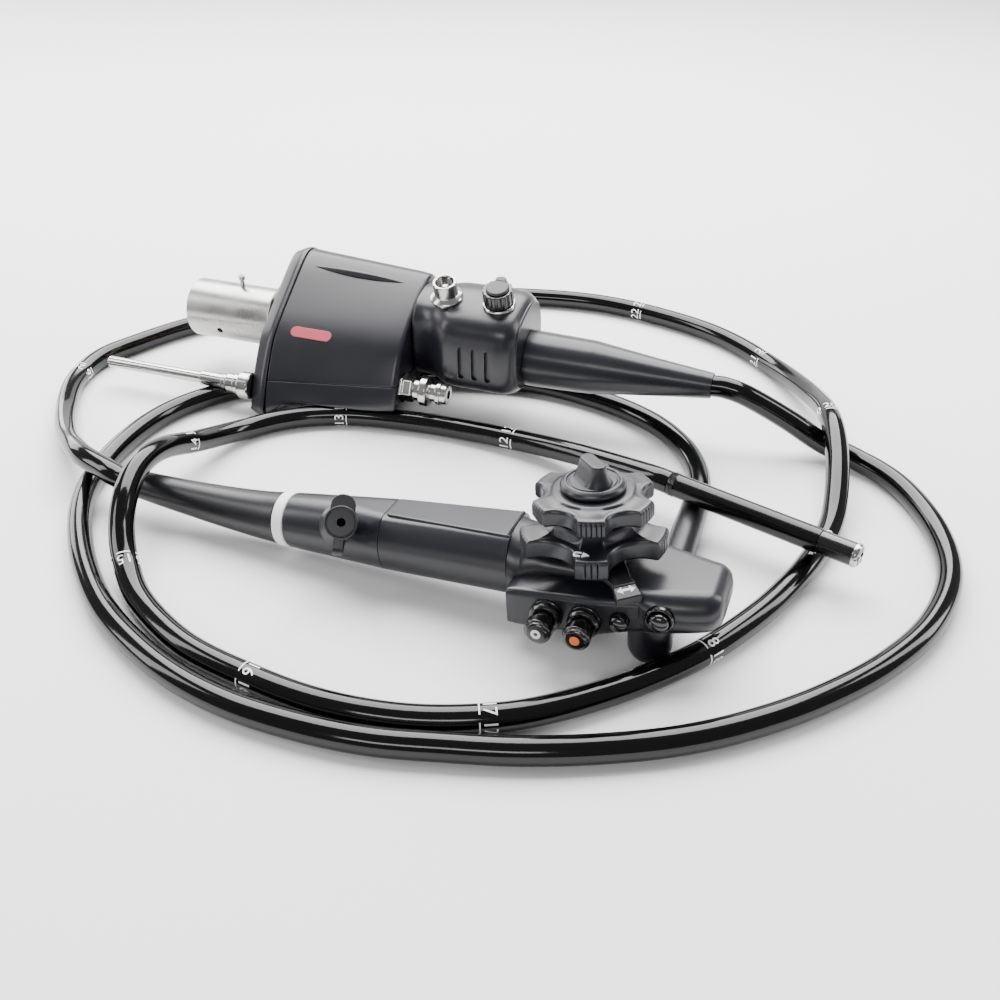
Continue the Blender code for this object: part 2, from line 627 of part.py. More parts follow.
RING_START = GAP
DISTAL_START = RING_START + COLOUR_RING_WIDTH + GAP
GRIP_START = DISTAL_START + DISTAL_GRIP_LENGTH + GAP
HEAD_START = GRIP_START + GRIP_LENGTH + GAP
HEAD_END = HEAD_START + HEAD_LENGTH


def build_insertion_boot(frame):
    """The long tapered strain relief of the insertion tube, rising a little towards its tip."""
    tip = INSERTION_TUBE_DIAMETER / 2 + BOOT_TIP_WALL
    points = [(0, 0, 0)]
    radii = [INSERTION_BOOT_RADIUS]
    steps = 10
    for step in range(steps + 1):
        share = blend(0.04, 1.0, step / steps)
        points.append((-INSERTION_BOOT_LENGTH * share, 0, INSERTION_BOOT_RISE * (share - 0.04) ** 1.5))
        radii.append(blend(INSERTION_BOOT_RADIUS, tip, share ** 0.85))
    tube("insertion_boot", points, radii, "rubber_black", frame, resolution=6)
    turned("colour_ring", rod_profile(COLOUR_RING_RADIUS, RING_START, RING_START + COLOUR_RING_WIDTH, 0.5 * MM),
           (0, 0, 0), (1, 0, 0), "white", frame, steps=24)


def build_grips(frame):
    """The two grip shells, round below and flat above, and the panel let into the flat."""
    distal_rings = []
    for step in range(5):
        share = step / 4
        radius = blend(COLOUR_RING_RADIUS, DISTAL_GRIP_END_RADIUS, share)
        distal_rings.append(oval_ring(DISTAL_START + DISTAL_GRIP_LENGTH * share, radius, radius,
                                      blend(radius, GRIP_FLAT_HEIGHT, share)))
    distal = loft("grip_distal", distal_rings, "satin_black", frame)
    grip_rings = []
    for share in (0.0, 0.5, 1.0):
        radius = blend(DISTAL_GRIP_END_RADIUS, GRIP_END_RADIUS, share)
        grip_rings.append(oval_ring(GRIP_START + GRIP_LENGTH * share, radius, radius, GRIP_FLAT_HEIGHT))
    loft("grip", grip_rings, "satin_black", frame)
    bottom = GRIP_FLAT_HEIGHT + GAP
    top = bottom + TOP_PANEL_THICKNESS
    half = TOP_PANEL_WIDTH / 2
    panel = prism("grip_top_panel",
                  [(GRIP_START + 1 * MM, -half * 0.72), (HEAD_START - 1 * MM, -half), (HEAD_START + 3 * MM, -half * 0.8),
                   (HEAD_START + 3 * MM, half * 0.8), (HEAD_START - 1 * MM, half), (GRIP_START + 1 * MM, half * 0.72)],
                  bottom, top, "soft_grey", frame)
    bevel(panel, 0.5 * MM)
    return distal


def build_channel_port(frame, distal):
    """The working-channel inlet: neck on the grip, rubber valve on it, and the valve's hinged lid."""
    axis = CHANNEL_PORT_DIRECTION
    foot = Vector((CHANNEL_PORT_X, 0, 0))
    seat_cutter = turned("channel_seat_cutter", rod_profile(CHANNEL_NECK_RADIUS + 0.8 * MM, CHANNEL_SEAT, 30 * MM),
                         foot, axis, None, frame)
    boolean(distal, seat_cutter)
    low = CHANNEL_SEAT + GAP
    top = low + CHANNEL_NECK_LENGTH
    profile = [(CHANNEL_BORE_RADIUS, top), (CHANNEL_NECK_RADIUS, top)]
    ribs = 3
    for rib in range(ribs):
        height = blend(top - 1.2 * MM, low + 2 * MM, rib / (ribs - 1))
        profile += [(CHANNEL_NECK_RADIUS, height), (CHANNEL_NECK_RADIUS - 0.8 * MM, height - 0.4 * MM),
                    (CHANNEL_NECK_RADIUS - 0.8 * MM, height - 1.0 * MM), (CHANNEL_NECK_RADIUS, height - 1.4 * MM)]
    profile += [(CHANNEL_NECK_RADIUS, low), (CHANNEL_BORE_RADIUS, low)]
    turned("channel_port", profile, foot, axis, "rubber_black", frame, steps=18, ring=True)
    valve_low = top + GAP
    valve_top = valve_low + BIOPSY_VALVE_LENGTH
    turned("biopsy_valve", [(BIOPSY_SLIT_RADIUS, valve_top), (BIOPSY_VALVE_RADIUS, valve_top),
                            (BIOPSY_VALVE_RADIUS, valve_top - 1.2 * MM),
                            (BIOPSY_VALVE_RADIUS - 0.8 * MM, valve_top - 1.8 * MM),
                            (BIOPSY_VALVE_RADIUS - 0.8 * MM, valve_low), (BIOPSY_SLIT_RADIUS, valve_low)],
           foot, axis, "rubber_black", frame, steps=18, ring=True)
    lid_low = valve_top + GAP
    lid_top = lid_low + BIOPSY_LID_THICKNESS
    lid_frame = make_frame("biopsy_lid_frame", (0, 0, 0), parent=frame)
    place(lid_frame, foot, axis)
    outline = []
    for step in range(32):
        angle = math.tau * step / 32
        strap = LID_STRAP_REACH * max(0.0, math.cos(angle - math.radians(LID_STRAP_ANGLE))) ** 6
        tab = LID_TAB_REACH * max(0.0, -math.cos(angle - math.radians(LID_STRAP_ANGLE))) ** 10
        reach = BIOPSY_VALVE_RADIUS + 0.5 * MM + strap + tab
        outline.append((reach * math.cos(angle), reach * math.sin(angle)))
    lid = prism("biopsy_lid", outline, lid_low, lid_top, "rubber_black", lid_frame)
    slit = turned("lid_slit_cutter", rod_profile(BIOPSY_SLIT_RADIUS, lid_low - 1 * MM, lid_top + 1 * MM), (0, 0, 0),
                  (0, 0, 1), None, lid_frame, steps=16)
    boolean(lid, slit)


def head_ring(share):
    """The head housing's cross-section at a share of its length: near, far, bottom, top, corner."""
    table = ((0.0, -14.0, 17.0, -18.0, HEAD_TOP, 5.0), (0.06, -13.6, 18.5, -20.0, HEAD_TOP, 5.0),
             (0.4, -13.6, 19.0, -20.0, HEAD_TOP, 5.0), (0.54, -13.6, 18.5, HEAD_UNDERSIDE / MM, HEAD_TOP, 5.0),
             (0.8, -12.6, 15.5, HEAD_UNDERSIDE / MM, HEAD_TOP, 4.5),
             (0.95, -8.0, 9.0, -7.5, HEAD_TOP - 0.6 * MM, 3.5), (1.0, -5.0, 6.0, -3.0, HEAD_TOP - 2 * MM, 2.0))
    for first, last in zip(table, table[1:]):
        if share <= last[0]:
            local = (share - first[0]) / (last[0] - first[0])
            near, far, bottom, corner = [blend(first[i], last[i], local) * MM for i in (1, 2, 3, 5)]
            return near, far, bottom, blend(first[4], last[4], local), corner
    return None


def build_head(frame):
    """The hollow head housing and the flat cover that carries the control shafts."""
    stations = (0.0, 0.06, 0.4, 0.54, 0.8, 0.95, 1.0)
    rings = []
    for share in stations:
        near, far, bottom, top, corner = head_ring(share)
        rings.append(rounded_ring(HEAD_START + HEAD_LENGTH * share, near, far, bottom, top, corner))
    head = loft("head_housing", rings, "satin_black", frame)
    inner = []
    for share in (0.08, 0.38, 0.56, 0.79):
        near, far, bottom, top, corner = head_ring(share)
        inner.append(rounded_ring(HEAD_START + HEAD_LENGTH * share, near + HEAD_WALL, far - HEAD_WALL,
                                  bottom + HEAD_WALL, HEAD_TOP + 9 * MM, corner - HEAD_WALL * 0.6))
    cavity = loft("head_cavity_cutter", inner, None, frame)
    boolean(head, cavity)
    outline = []
    for share in (0.075, 0.4, 0.68, 0.8):
        near, far, _, _, _ = head_ring(share)
        outline.append((HEAD_START + HEAD_LENGTH * share, near + 0.6 * MM, far - 0.6 * MM))
    points = [(x, near) for x, near, _ in outline] + [(x, far) for x, _, far in reversed(outline)]
    cover = prism("head_cover", points, HEAD_TOP + GAP, HEAD_TOP + GAP + HEAD_COVER_THICKNESS, "soft_grey", frame)
    bevel(cover, 0.6 * MM)
    bore = turned("cover_bore_cutter", rod_profile(ud_shaft_radius() + SHAFT_CLEARANCE, HEAD_TOP - 4 * MM,
                                                   HEAD_TOP + 9 * MM),
                  (KNOB_X, KNOB_Y, 0), (0, 0, 1), None, frame)
    boolean(cover, bore)
    return head


VALVE_BLOCK_TABLE = (
    (119.5, -27.0, -14.2, -25.0, -1.0, 2.5), (124.0, -27.5, -14.2, -25.0, 0.0, 3.0),
    (157.0, -27.5, -14.2, -21.0, 1.5, 3.0), (166.0, -27.2, -14.1, HEAD_UNDERSIDE / MM, 2.4, 3.0),
    (178.0, -26.0, -14.0, HEAD_UNDERSIDE / MM, 3.2, 3.0), (190.0, -21.6, -13.4, HEAD_UNDERSIDE / MM, 4.5, 3.0),
    (199.0, -16.5, -11.6, -8.5, 4.5, 2.0))


def valve_block_front(x):
    """The block's near face at a place along the body."""
    for first, last in zip(VALVE_BLOCK_TABLE, VALVE_BLOCK_TABLE[1:]):
        if first[0] * MM <= x <= last[0] * MM:
            return blend(first[1], last[1], (x / MM - first[0]) / (last[0] - first[0])) * MM
    return VALVE_BLOCK_TABLE[-1][1] * MM


def build_valve_block(frame):
    """The block along the head's near side, with the bores of the valves and the wells of the buttons."""
    rings = []
    for x, near, far, bottom, top, corner in VALVE_BLOCK_TABLE:
        rings.append(rounded_ring(x * MM, near * MM, far * MM, bottom * MM, top * MM, corner * MM))
    return loft("valve_block", rings, "satin_black", frame)


def build_valve(frame, block, name, x):
    """A sprung valve: fixed collar in a counterbore, stem in the bore, and the finger cap."""
    face = Vector((x, valve_block_front(x), VALVE_Z))
    out = Vector((0, -1, 0))
    bore_depth = VALVE_TRAVEL + 4 * MM
    boolean(block, turned(f"{name}_bore_cutter", rod_profile(VALVE_STEM_RADIUS + GAP, -bore_depth, 9 * MM), face, out,
                          None, frame, steps=20))
    boolean(block, turned(f"{name}_seat_cutter", rod_profile(VALVE_COLLAR_RADIUS + GAP, -1 * MM, 9 * MM), face, out,
                          None, frame, steps=20))
    low = -1 * MM + GAP
    top = low + VALVE_COLLAR_LENGTH
    inner = VALVE_STEM_RADIUS + GAP
    turned(f"{name}_collar", [(inner, top), (VALVE_COLLAR_RADIUS - 1.0 * MM, top), (VALVE_COLLAR_RADIUS, top - 1 * MM),
                              (VALVE_COLLAR_RADIUS, low + 1.6 * MM), (VALVE_COLLAR_RADIUS - 0.7 * MM, low + 1.2 * MM),
                              (VALVE_COLLAR_RADIUS, low + 0.8 * MM), (VALVE_COLLAR_RADIUS, low), (inner, low)],
           face, out, "gloss_black", frame, steps=20, ring=True)
    skirt = top + VALVE_TRAVEL + GAP
    end = skirt + VALVE_CAP_LENGTH
    turned(name, [(0, end - 0.9 * MM), (1.5 * MM, end - 0.9 * MM), (2.1 * MM, end), (VALVE_CAP_RADIUS - 1.4 * MM, end),
                  (VALVE_CAP_RADIUS, end - 1.4 * MM), (VALVE_CAP_RADIUS, skirt), (VALVE_STEM_RADIUS, skirt),
                  (VALVE_STEM_RADIUS, -bore_depth + VALVE_TRAVEL + GAP), (0, -bore_depth + VALVE_TRAVEL + GAP)],
           face, out, "gloss_black", frame, steps=20)


def build_buttons(frame, block):
    """Two remote buttons in wells, the far one inside a bezel, square to the block's sloping face."""
    face = Vector((BUTTON_X, valve_block_front(BUTTON_X), BUTTON_Z))
    out = Vector((0, -1, 0))
    depth = BUTTON_TRAVEL + 2 * MM
    boolean(block, turned("button_well_cutter", rod_profile(BUTTON_RADIUS + GAP, -depth, 9 * MM), face, out, None,
                          frame, steps=20))
    turned("image_button", [(0, BUTTON_PROUD), (BUTTON_RADIUS - 1.4 * MM, BUTTON_PROUD - 0.2 * MM),
                            (BUTTON_RADIUS - 0.3 * MM, BUTTON_PROUD - 1.2 * MM), (BUTTON_RADIUS, BUTTON_PROUD - 2.4 * MM),
                            (BUTTON_RADIUS, -depth + BUTTON_TRAVEL + GAP), (0, -depth + BUTTON_TRAVEL + GAP)],
           face, out, "gloss_black", frame, steps=20)
    ahead = 3 * MM
    rise = valve_block_front(RING_BUTTON_X + ahead) - valve_block_front(RING_BUTTON_X - ahead)
    out = Vector((rise, -2 * ahead, 0)).normalized()
    face = Vector((RING_BUTTON_X, valve_block_front(RING_BUTTON_X), RING_BUTTON_Z))
    boolean(block, turned("bezel_seat_cutter", rod_profile(RING_BEZEL_RADIUS + GAP, -1.2 * MM, 9 * MM), face, out, None,
                          frame, steps=20))
    boolean(block, turned("bezel_well_cutter", rod_profile(RING_BUTTON_RADIUS + GAP, -depth, 9 * MM), face, out, None,
                          frame, steps=16))
    low = -1.2 * MM + GAP
    inner = RING_BUTTON_RADIUS + GAP
    turned("button_bezel", [(inner, 1.4 * MM), (RING_BEZEL_RADIUS - 0.5 * MM, 1.4 * MM), (RING_BEZEL_RADIUS, 0.8 * MM),
                            (RING_BEZEL_RADIUS, low), (inner, low)],
           face, out, "gloss_black", frame, steps=20, ring=True)
    turned("capture_button", [(0, BUTTON_PROUD), (RING_BUTTON_RADIUS - 1.6 * MM, BUTTON_PROUD - 0.2 * MM),
                              (RING_BUTTON_RADIUS - 0.4 * MM, BUTTON_PROUD - 1.2 * MM),
                              (RING_BUTTON_RADIUS, BUTTON_PROUD - 2.4 * MM),
                              (RING_BUTTON_RADIUS, -depth + BUTTON_TRAVEL + GAP), (0, -depth + BUTTON_TRAVEL + GAP)],
           face, out, "gloss_black", frame, steps=20)


def rl_shaft_radius():
    return POST_RADIUS + SHAFT_CLEARANCE + SHAFT_WALL


def ud_shaft_radius():
    return rl_shaft_radius() + SHAFT_CLEARANCE + SHAFT_WALL


def build_controls(frame):
    """Fixed post, the two nested shafts with their wire drums, both hand wheels, lock lever and lock knob."""
    centre = make_frame("control_axis", (KNOB_X, KNOB_Y, 0), parent=frame)
    floor = -18.0 * MM + HEAD_WALL
    up = (0, 0, 1)
    rl_top = RL_KNOB_BOTTOM + RL_KNOB_THICKNESS
    ud_top = UD_KNOB_BOTTOM + UD_KNOB_THICKNESS + 4 * MM
    turned("control_post", rod_profile(POST_RADIUS, floor + GAP, rl_top - 2 * MM), (0, 0, 0), up, "steel", centre,
           steps=20)
    drum_low = floor + 2 * MM
    rl_inner = POST_RADIUS + SHAFT_CLEARANCE
    rl_outer = rl_shaft_radius()
    ud_inner = rl_outer + SHAFT_CLEARANCE
    ud_outer = ud_shaft_radius()
    turned("rl_shaft_and_drum", drum_profile(rl_inner, rl_outer, drum_low, RL_KNOB_BOTTOM + 5 * MM), (0, 0, 0), up,
           "steel", centre, ring=True)
    second = drum_low + DRUM_THICKNESS + 1.2 * MM
    turned("ud_shaft_and_drum", drum_profile(ud_inner, ud_outer, second, UD_KNOB_BOTTOM + 5 * MM), (0, 0, 0), up,
           "steel", centre, ring=True)
    ud = prism("ud_knob", lobed_outline(UD_KNOB_RADIUS, UD_KNOB_LOBES, UD_KNOB_RADIUS * 0.7, -90.0),
               UD_KNOB_BOTTOM, UD_KNOB_BOTTOM + UD_KNOB_THICKNESS, "satin_black", centre)
    bevel(ud, 0.9 * MM, angle=60)
    hub = turned("ud_hub", [(0, ud_top), (15 * MM, ud_top), (19 * MM, UD_KNOB_BOTTOM + UD_KNOB_THICKNESS - 1 * MM),
                            (19 * MM, UD_KNOB_BOTTOM + 2 * MM), (0, UD_KNOB_BOTTOM + 2 * MM)], (0, 0, 0), up, None, centre)
    boolean(ud, hub, "UNION")
    boolean(ud, turned("ud_bore", rod_profile(ud_outer + GAP, UD_KNOB_BOTTOM - 9 * MM, UD_KNOB_BOTTOM + 5 * MM + GAP),
                       (0, 0, 0), up, None, centre))
    boolean(ud, turned("ud_through_bore", rod_profile(rl_outer + SHAFT_CLEARANCE, UD_KNOB_BOTTOM, ud_top + 9 * MM),
                       (0, 0, 0), up, None, centre))
    rl = prism("rl_knob", lobed_outline(RL_KNOB_RADIUS, RL_KNOB_LOBES, RL_KNOB_RADIUS * 0.8, -90.0),
               RL_KNOB_BOTTOM, rl_top, "satin_black", centre)
    bevel(rl, 0.9 * MM, angle=60)
    boolean(rl, turned("rl_bore", rod_profile(rl_outer + GAP, RL_KNOB_BOTTOM - 9 * MM, RL_KNOB_BOTTOM + 5 * MM + GAP),
                       (0, 0, 0), up, None, centre))
    boolean(rl, turned("rl_post_bore", rod_profile(POST_RADIUS + SHAFT_CLEARANCE, RL_KNOB_BOTTOM, rl_top + 9 * MM),
                       (0, 0, 0), up, None, centre))
    lock_low = rl_top + GAP
    lock = turned("rl_lock_knob", [(0, lock_low + LOCK_KNOB_HEIGHT), (LOCK_KNOB_RADIUS - 2.6 * MM, lock_low + LOCK_KNOB_HEIGHT),
                                   (LOCK_KNOB_RADIUS - 1.4 * MM, lock_low + LOCK_KNOB_HEIGHT - 1.2 * MM),
                                   (LOCK_KNOB_RADIUS, lock_low + LOCK_KNOB_HEIGHT - 2.2 * MM),
                                   (LOCK_KNOB_RADIUS, lock_low), (0, lock_low)],
                  (0, 0, 0), up, "satin_black", centre, steps=36)
    bar_top = lock_low + LOCK_KNOB_HEIGHT + LOCK_BAR_HEIGHT
    bar = loft("lock_bar", [[(-11 * MM, -5 * MM, lock_low + 1 * MM), (11 * MM, -5 * MM, lock_low + 1 * MM),
                             (11 * MM, 5 * MM, lock_low + 1 * MM), (-11 * MM, 5 * MM, lock_low + 1 * MM)],
                            [(-7 * MM, -2.8 * MM, bar_top), (10 * MM, -2.8 * MM, bar_top - 3 * MM),
                             (10 * MM, 2.8 * MM, bar_top - 3 * MM), (-7 * MM, 2.8 * MM, bar_top)]], None, centre)
    bar.rotation_euler = (0, 0, math.radians(118))
    boolean(lock, bar, "UNION")
    build_lock_lever(centre, ud_outer)


def drum_profile(inner, outer, low, top):
    """A hollow shaft with a grooved wire drum at its foot."""
    high = low + DRUM_THICKNESS
    groove = 1.2 * MM
    return [(inner, top), (outer, top), (outer, high), (DRUM_RADIUS, high), (DRUM_RADIUS, high - 0.8 * MM),
            (DRUM_RADIUS - groove, high - 1.4 * MM), (DRUM_RADIUS - groove, low + 1.4 * MM),
            (DRUM_RADIUS, low + 0.8 * MM), (DRUM_RADIUS, low), (inner, low)]


def build_lock_lever(centre, shaft):
    """The up/down lock's flat lever under its hand wheel, its thumb tab bent down over the head's edge."""
    low = HEAD_TOP + HEAD_COVER_THICKNESS + 2 * GAP
    top = low + LEVER_THICKNESS
    bore = shaft + SHAFT_CLEARANCE
    outline = []
    for step in range(17):
        angle = math.radians(60 + 240 * step / 16)
        outline.append((10.5 * MM * math.cos(angle), 10.5 * MM * math.sin(angle)))
    outline += [(LEVER_LENGTH - 4 * MM, -4.6 * MM), (LEVER_LENGTH, -4.6 * MM), (LEVER_LENGTH, 4.6 * MM),
                (LEVER_LENGTH - 4 * MM, 4.6 * MM)]
    lever = prism("ud_lock_lever", outline, low, top, "satin_black", centre)
    tab = loft("lever_tab", [[(LEVER_LENGTH - 2 * MM, y, z) for y, z in
                              ((-4.6 * MM, low), (4.6 * MM, low), (4.6 * MM, top), (-4.6 * MM, top))],
                             [(LEVER_LENGTH + 5 * MM, y, z) for y, z in
                              ((-5.4 * MM, low - 4 * MM), (5.4 * MM, low - 4 * MM), (5.4 * MM, top - 3 * MM),
                               (-5.4 * MM, top - 3 * MM))]], None, centre)
    hole = turned("lever_bore", rod_profile(bore, low - 2 * MM, top + 2 * MM), (0, 0, 0), (0, 0, 1), None, centre)
    for item in (lever, tab):
        item.rotation_euler = (0, 0, math.radians(LEVER_ANGLE))
    boolean(lever, tab, "UNION")
    boolean(lever, hole)


def build_elbow(bench):
    """The knuckle under the head where the umbilical turns to lie along the bench, and its long boot."""
    elbow_frame = make_frame("elbow_frame", ELBOW_AT, yaw=UMBILICAL_BOOT_YAW, parent=bench)
    bm = bmesh.new()
    bmesh.ops.create_uvsphere(bm, u_segments=16, v_segments=10, radius=ELBOW_RADIUS)
    elbow = mesh_object("umbilical_elbow", bm, "satin_black", elbow_frame)
    bpy.context.view_layer.update()
    in_body = BODY.matrix_world.inverted() @ elbow_frame.matrix_world.translation
    arm = turned("elbow_arm", rod_profile(ELBOW_RADIUS - 0.02 * MM, 0, ELBOW_ARM), (0, 0, 0), (1, 0, 0), None,
                 elbow_frame, steps=16)
    neck = turned("elbow_neck", rod_profile(ELBOW_RADIUS - 0.6 * MM, in_body.z, HEAD_UNDERSIDE - GAP),
                  (in_body.x, in_body.y, 0), (0, 0, 1), None, BODY, steps=16)
    boolean(elbow, arm, "UNION")
    boolean(elbow, neck, "UNION")
    tip = UMBILICAL_DIAMETER / 2 + BOOT_TIP_WALL
    drop = ELBOW_AT.z - tip - 0.1 * MM
    points = []
    radii = []
    for step in range(9):
        share = step / 8
        points.append((ELBOW_ARM + GAP + UMBILICAL_BOOT_LENGTH * share, 0, -drop * share))
        radii.append(blend(ELBOW_RADIUS - 0.3 * MM, tip, share))
    tube("umbilical_boot", points, radii, "rubber_black", elbow_frame, resolution=6)


def build_tubes(bench):
    """The two flexible tubes along their routes, each from boot to boot."""
    bpy.context.view_layer.update()
    boot_tip = BODY.matrix_world @ Vector((-INSERTION_BOOT_LENGTH - 2 * GAP, 0, INSERTION_BOOT_RISE))
    boot_lead = BODY.matrix_world @ Vector((-INSERTION_BOOT_LENGTH - 9 * MM, 0, INSERTION_BOOT_RISE + 1.2 * MM))
    origin = bench.matrix_world.translation
    route = [boot_tip - origin, boot_lead - origin]
    route += [Vector(point) * MM for point in INSERTION_ROUTE]
    ahead = Vector((math.cos(math.radians(BENDING_YAW)), math.sin(math.radians(BENDING_YAW)), 0))
    route += [BENDING_START - ahead * 9 * MM, BENDING_START - ahead * GAP]
    points = smooth_route(route, 31 * MM, INSERTION_TUBE_DIAMETER / 2 + 0.1 * MM)
    tube("insertion_tube", points, [INSERTION_TUBE_DIAMETER / 2] * len(points), "gloss_black", bench)
    boot_end = CONNECTOR.matrix_world @ Vector((REAR_END + GAP + CONNECTOR_BOOT_LENGTH + GAP, 0, 0))
    boot_ahead = CONNECTOR.matrix_world @ Vector((REAR_END + CONNECTOR_BOOT_LENGTH + 9 * MM, 0, 0))
    route = [boot_end - origin, boot_ahead - origin] + [Vector(point) * MM for point in UMBILICAL_ROUTE]
    turn = math.radians(UMBILICAL_BOOT_YAW)
    along = Vector((math.cos(turn), math.sin(turn), 0))
    end = ELBOW_AT + along * (ELBOW_ARM + UMBILICAL_BOOT_LENGTH + 2 * GAP)
    end.z = UMBILICAL_DIAMETER / 2 + BOOT_TIP_WALL + 0.1 * MM
    route += [end + along * 9 * MM, end]
    points = smooth_route(route, 31 * MM, UMBILICAL_DIAMETER / 2 + 0.1 * MM)
    tube("umbilical_cable", points, [UMBILICAL_DIAMETER / 2] * len(points), "gloss_black", bench)


def link_body(start_tabs, end_ears, start_x, end_x, parent):
    """One link of the bending section: a ring whose ends are relieved about their pivots.

    The start pivot's axis is local Y and the end pivot's is local Z. Outer tabs reach back over the
    start pivot, and inner ears with rivets reach on to the end pivot, inside the next link's tabs.
    """
    count = 12
    inner = LINK_RADIUS - LINK_WALL
    loops = []
    for radius, at_end in ((LINK_RADIUS, False), (LINK_RADIUS, True), (inner, True), (inner, False)):
        loop = []
        for step in range(count):
            angle = math.tau * step / count
            y = radius * math.cos(angle)
            z = radius * math.sin(angle)
            x = end_x - TOE_SLOPE * abs(y) if at_end else start_x + HEEL_SLOPE * abs(z)
            loop.append((x, y, z))
        loops.append(loop)
    bm = bmesh.new()
    rings = [[bm.verts.new(point) for point in loop] for loop in loops]
    for near, far in zip(rings, rings[1:] + rings[:1]):
        for i in range(count):
            j = (i + 1) % count
            bm.faces.new((near[i], near[j], far[j], far[i]))
    body = mesh_object("link_ring", bm, None, parent)
    ear_low = inner - 1.5 * MM
    ear_top = inner - 0.7 * MM
    for side in (1, -1):
        if start_tabs:
            pivot = start_x - LINK_HEEL
            tab = turned("tab", rod_profile(TAB_RADIUS, inner + 0.1 * MM, LINK_RADIUS - 0.05 * MM),
                         (pivot, 0, 0), (0, side, 0), None, parent, steps=8)
            boolean(body, tab, "UNION")
            hole = turned("hole", rod_profile(RIVET_RADIUS + 0.2 * MM, inner - 0.5 * MM, LINK_RADIUS + 1 * MM),
                          (pivot, 0, 0), (0, side, 0), None, parent, steps=6)
            boolean(body, hole)
        if end_ears:
            pivot = end_x + LINK_TOE
            root = end_x - 1.6 * MM
            outline = [(root, EAR_RADIUS * 0.9), (root, -EAR_RADIUS * 0.9)]
            for step in range(4):
                angle = math.radians(-75 + 50 * step)
                outline.append((pivot + EAR_RADIUS * math.cos(angle), EAR_RADIUS * math.sin(angle)))
            low, high = sorted((side * ear_low, side * ear_top))
            boolean(body, prism("ear", outline, low, high, None, parent), "UNION")
            low, high = sorted((side * (ear_low + 0.3 * MM), side * (inner + 0.5 * MM)))
            web = box("web", (root + 0.2 * MM, -1.1 * MM, low), (root + 1.1 * MM, 1.1 * MM, high), None, parent)
            boolean(body, web, "UNION")
            rivet = turned("rivet", rod_profile(RIVET_RADIUS, ear_low + 0.2 * MM, LINK_RADIUS - 0.1 * MM),
                           (pivot, 0, 0), (0, 0, side), None, parent, steps=6)
            boolean(body, rivet, "UNION")
    bpy.context.view_layer.update()
    evaluated = body.evaluated_get(bpy.context.evaluated_depsgraph_get())
    mesh = bpy.data.meshes.new_from_object(evaluated)
    for item in [body] + [item for item in CUTTERS.objects if item.name.startswith(LINK_TOOLS)]:
        bpy.data.objects.remove(item, do_unlink=True)
    return mesh


LINK_TOOLS = ("tab", "hole", "ear", "web", "rivet")


def build_bending_section(bench):
    """Base collar, nine links that pivot in turn about Y and Z, and the rigid tip with its optics."""
    start = make_frame("bending_frame", BENDING_START, yaw=BENDING_YAW, parent=bench)
    scratch = make_frame("link_frame", (0, 0, 0))
    collar_mesh = link_body(False, True, GAP, FIRST_PIVOT - LINK_TOE, scratch)
    link_mesh = link_body(True, True, LINK_HEEL, LINK_PITCH - LINK_TOE, scratch)
    tip_mesh = link_body(True, False, LINK_HEEL, 6.0 * MM, scratch)
    bpy.data.objects.remove(scratch, do_unlink=True)
    collar = add_object("bending_base_collar", collar_mesh, "steel", start)
    collar.rotation_euler = (math.radians(90), 0, 0)
    for number in range(1, LINK_COUNT):
        link = add_object(f"bending_link_{number}", link_mesh.copy(), "steel", start)
        link.location = (FIRST_PIVOT + LINK_PITCH * (number - 1), 0, 0)
        link.rotation_euler = (math.radians(90 * ((number + 1) % 2)), 0, 0)
    last = FIRST_PIVOT + LINK_PITCH * (LINK_COUNT - 1)
    tip_frame = make_frame("tip_frame", (last, 0, 0), roll=90, parent=start)
    tip = add_object("distal_tip", tip_mesh, "gloss_black", tip_frame)
    face = TIP_LENGTH
    head = turned("tip_head", [(0, face), (TIP_RADIUS - 1.0 * MM, face), (TIP_RADIUS, face - 1.0 * MM),
                               (TIP_RADIUS, 4.6 * MM), (0, 4.6 * MM)], (0, 0, 0), (1, 0, 0), None, tip_frame, steps=24)
    boolean(tip, head, "UNION")
    for name, y, z, radius in (("channel", 0.0, -2.3, 1.6), ("nozzle", 2.7, 1.4, 0.7), ("jet", -2.7, 1.4, 0.5)):
        cutter = turned(f"tip_{name}_cutter", rod_profile(radius * MM, face - 4 * MM, face + 2 * MM),
                        (0, y * MM, z * MM), (1, 0, 0), None, tip_frame, steps=12)
        boolean(tip, cutter)
    for name, y, z, radius in (("objective_lens", 0.0, 2.3, 1.5), ("light_lens_left", 3.0, -1.2, 1.0),
                               ("light_lens_right", -3.0, -1.2, 1.0)):
        turned(name, rod_profile(radius * MM, face + GAP, face + GAP + 0.5 * MM, 0.2 * MM), (0, y * MM, z * MM),
               (1, 0, 0), "glass", tip_frame, steps=12)


clear_scene()
PIECES = make_collection("flexible_endoscope")
CUTTERS = make_collection("cutters")
SHADES = {shade: make_material(shade) for shade in MATERIALS}
BENCH = make_frame("bench", -ORIGIN)
CONNECTOR = make_frame("connector_frame", CONNECTOR_AT, yaw=CONNECTOR_YAW, parent=BENCH)
BODY = make_frame("body_frame", BODY_AT, yaw=BODY_YAW, pitch=BODY_PITCH, roll=BODY_ROLL, parent=BENCH)

build_end_plate(CONNECTOR)
build_housing(CONNECTOR)
build_barrel(CONNECTOR)
build_light_rod(CONNECTOR)
build_ports(CONNECTOR, build_rear_grip(CONNECTOR))
build_fitting(CONNECTOR)
build_connector_boot(CONNECTOR)

build_insertion_boot(BODY)
build_channel_port(BODY, build_grips(BODY))
build_head(BODY)
BLOCK = build_valve_block(BODY)
build_valve(BODY, BLOCK, "air_water_valve", AIR_VALVE_X)
build_valve(BODY, BLOCK, "suction_valve", SUCTION_VALVE_X)
build_buttons(BODY, BLOCK)
build_controls(BODY)
build_elbow(BENCH)

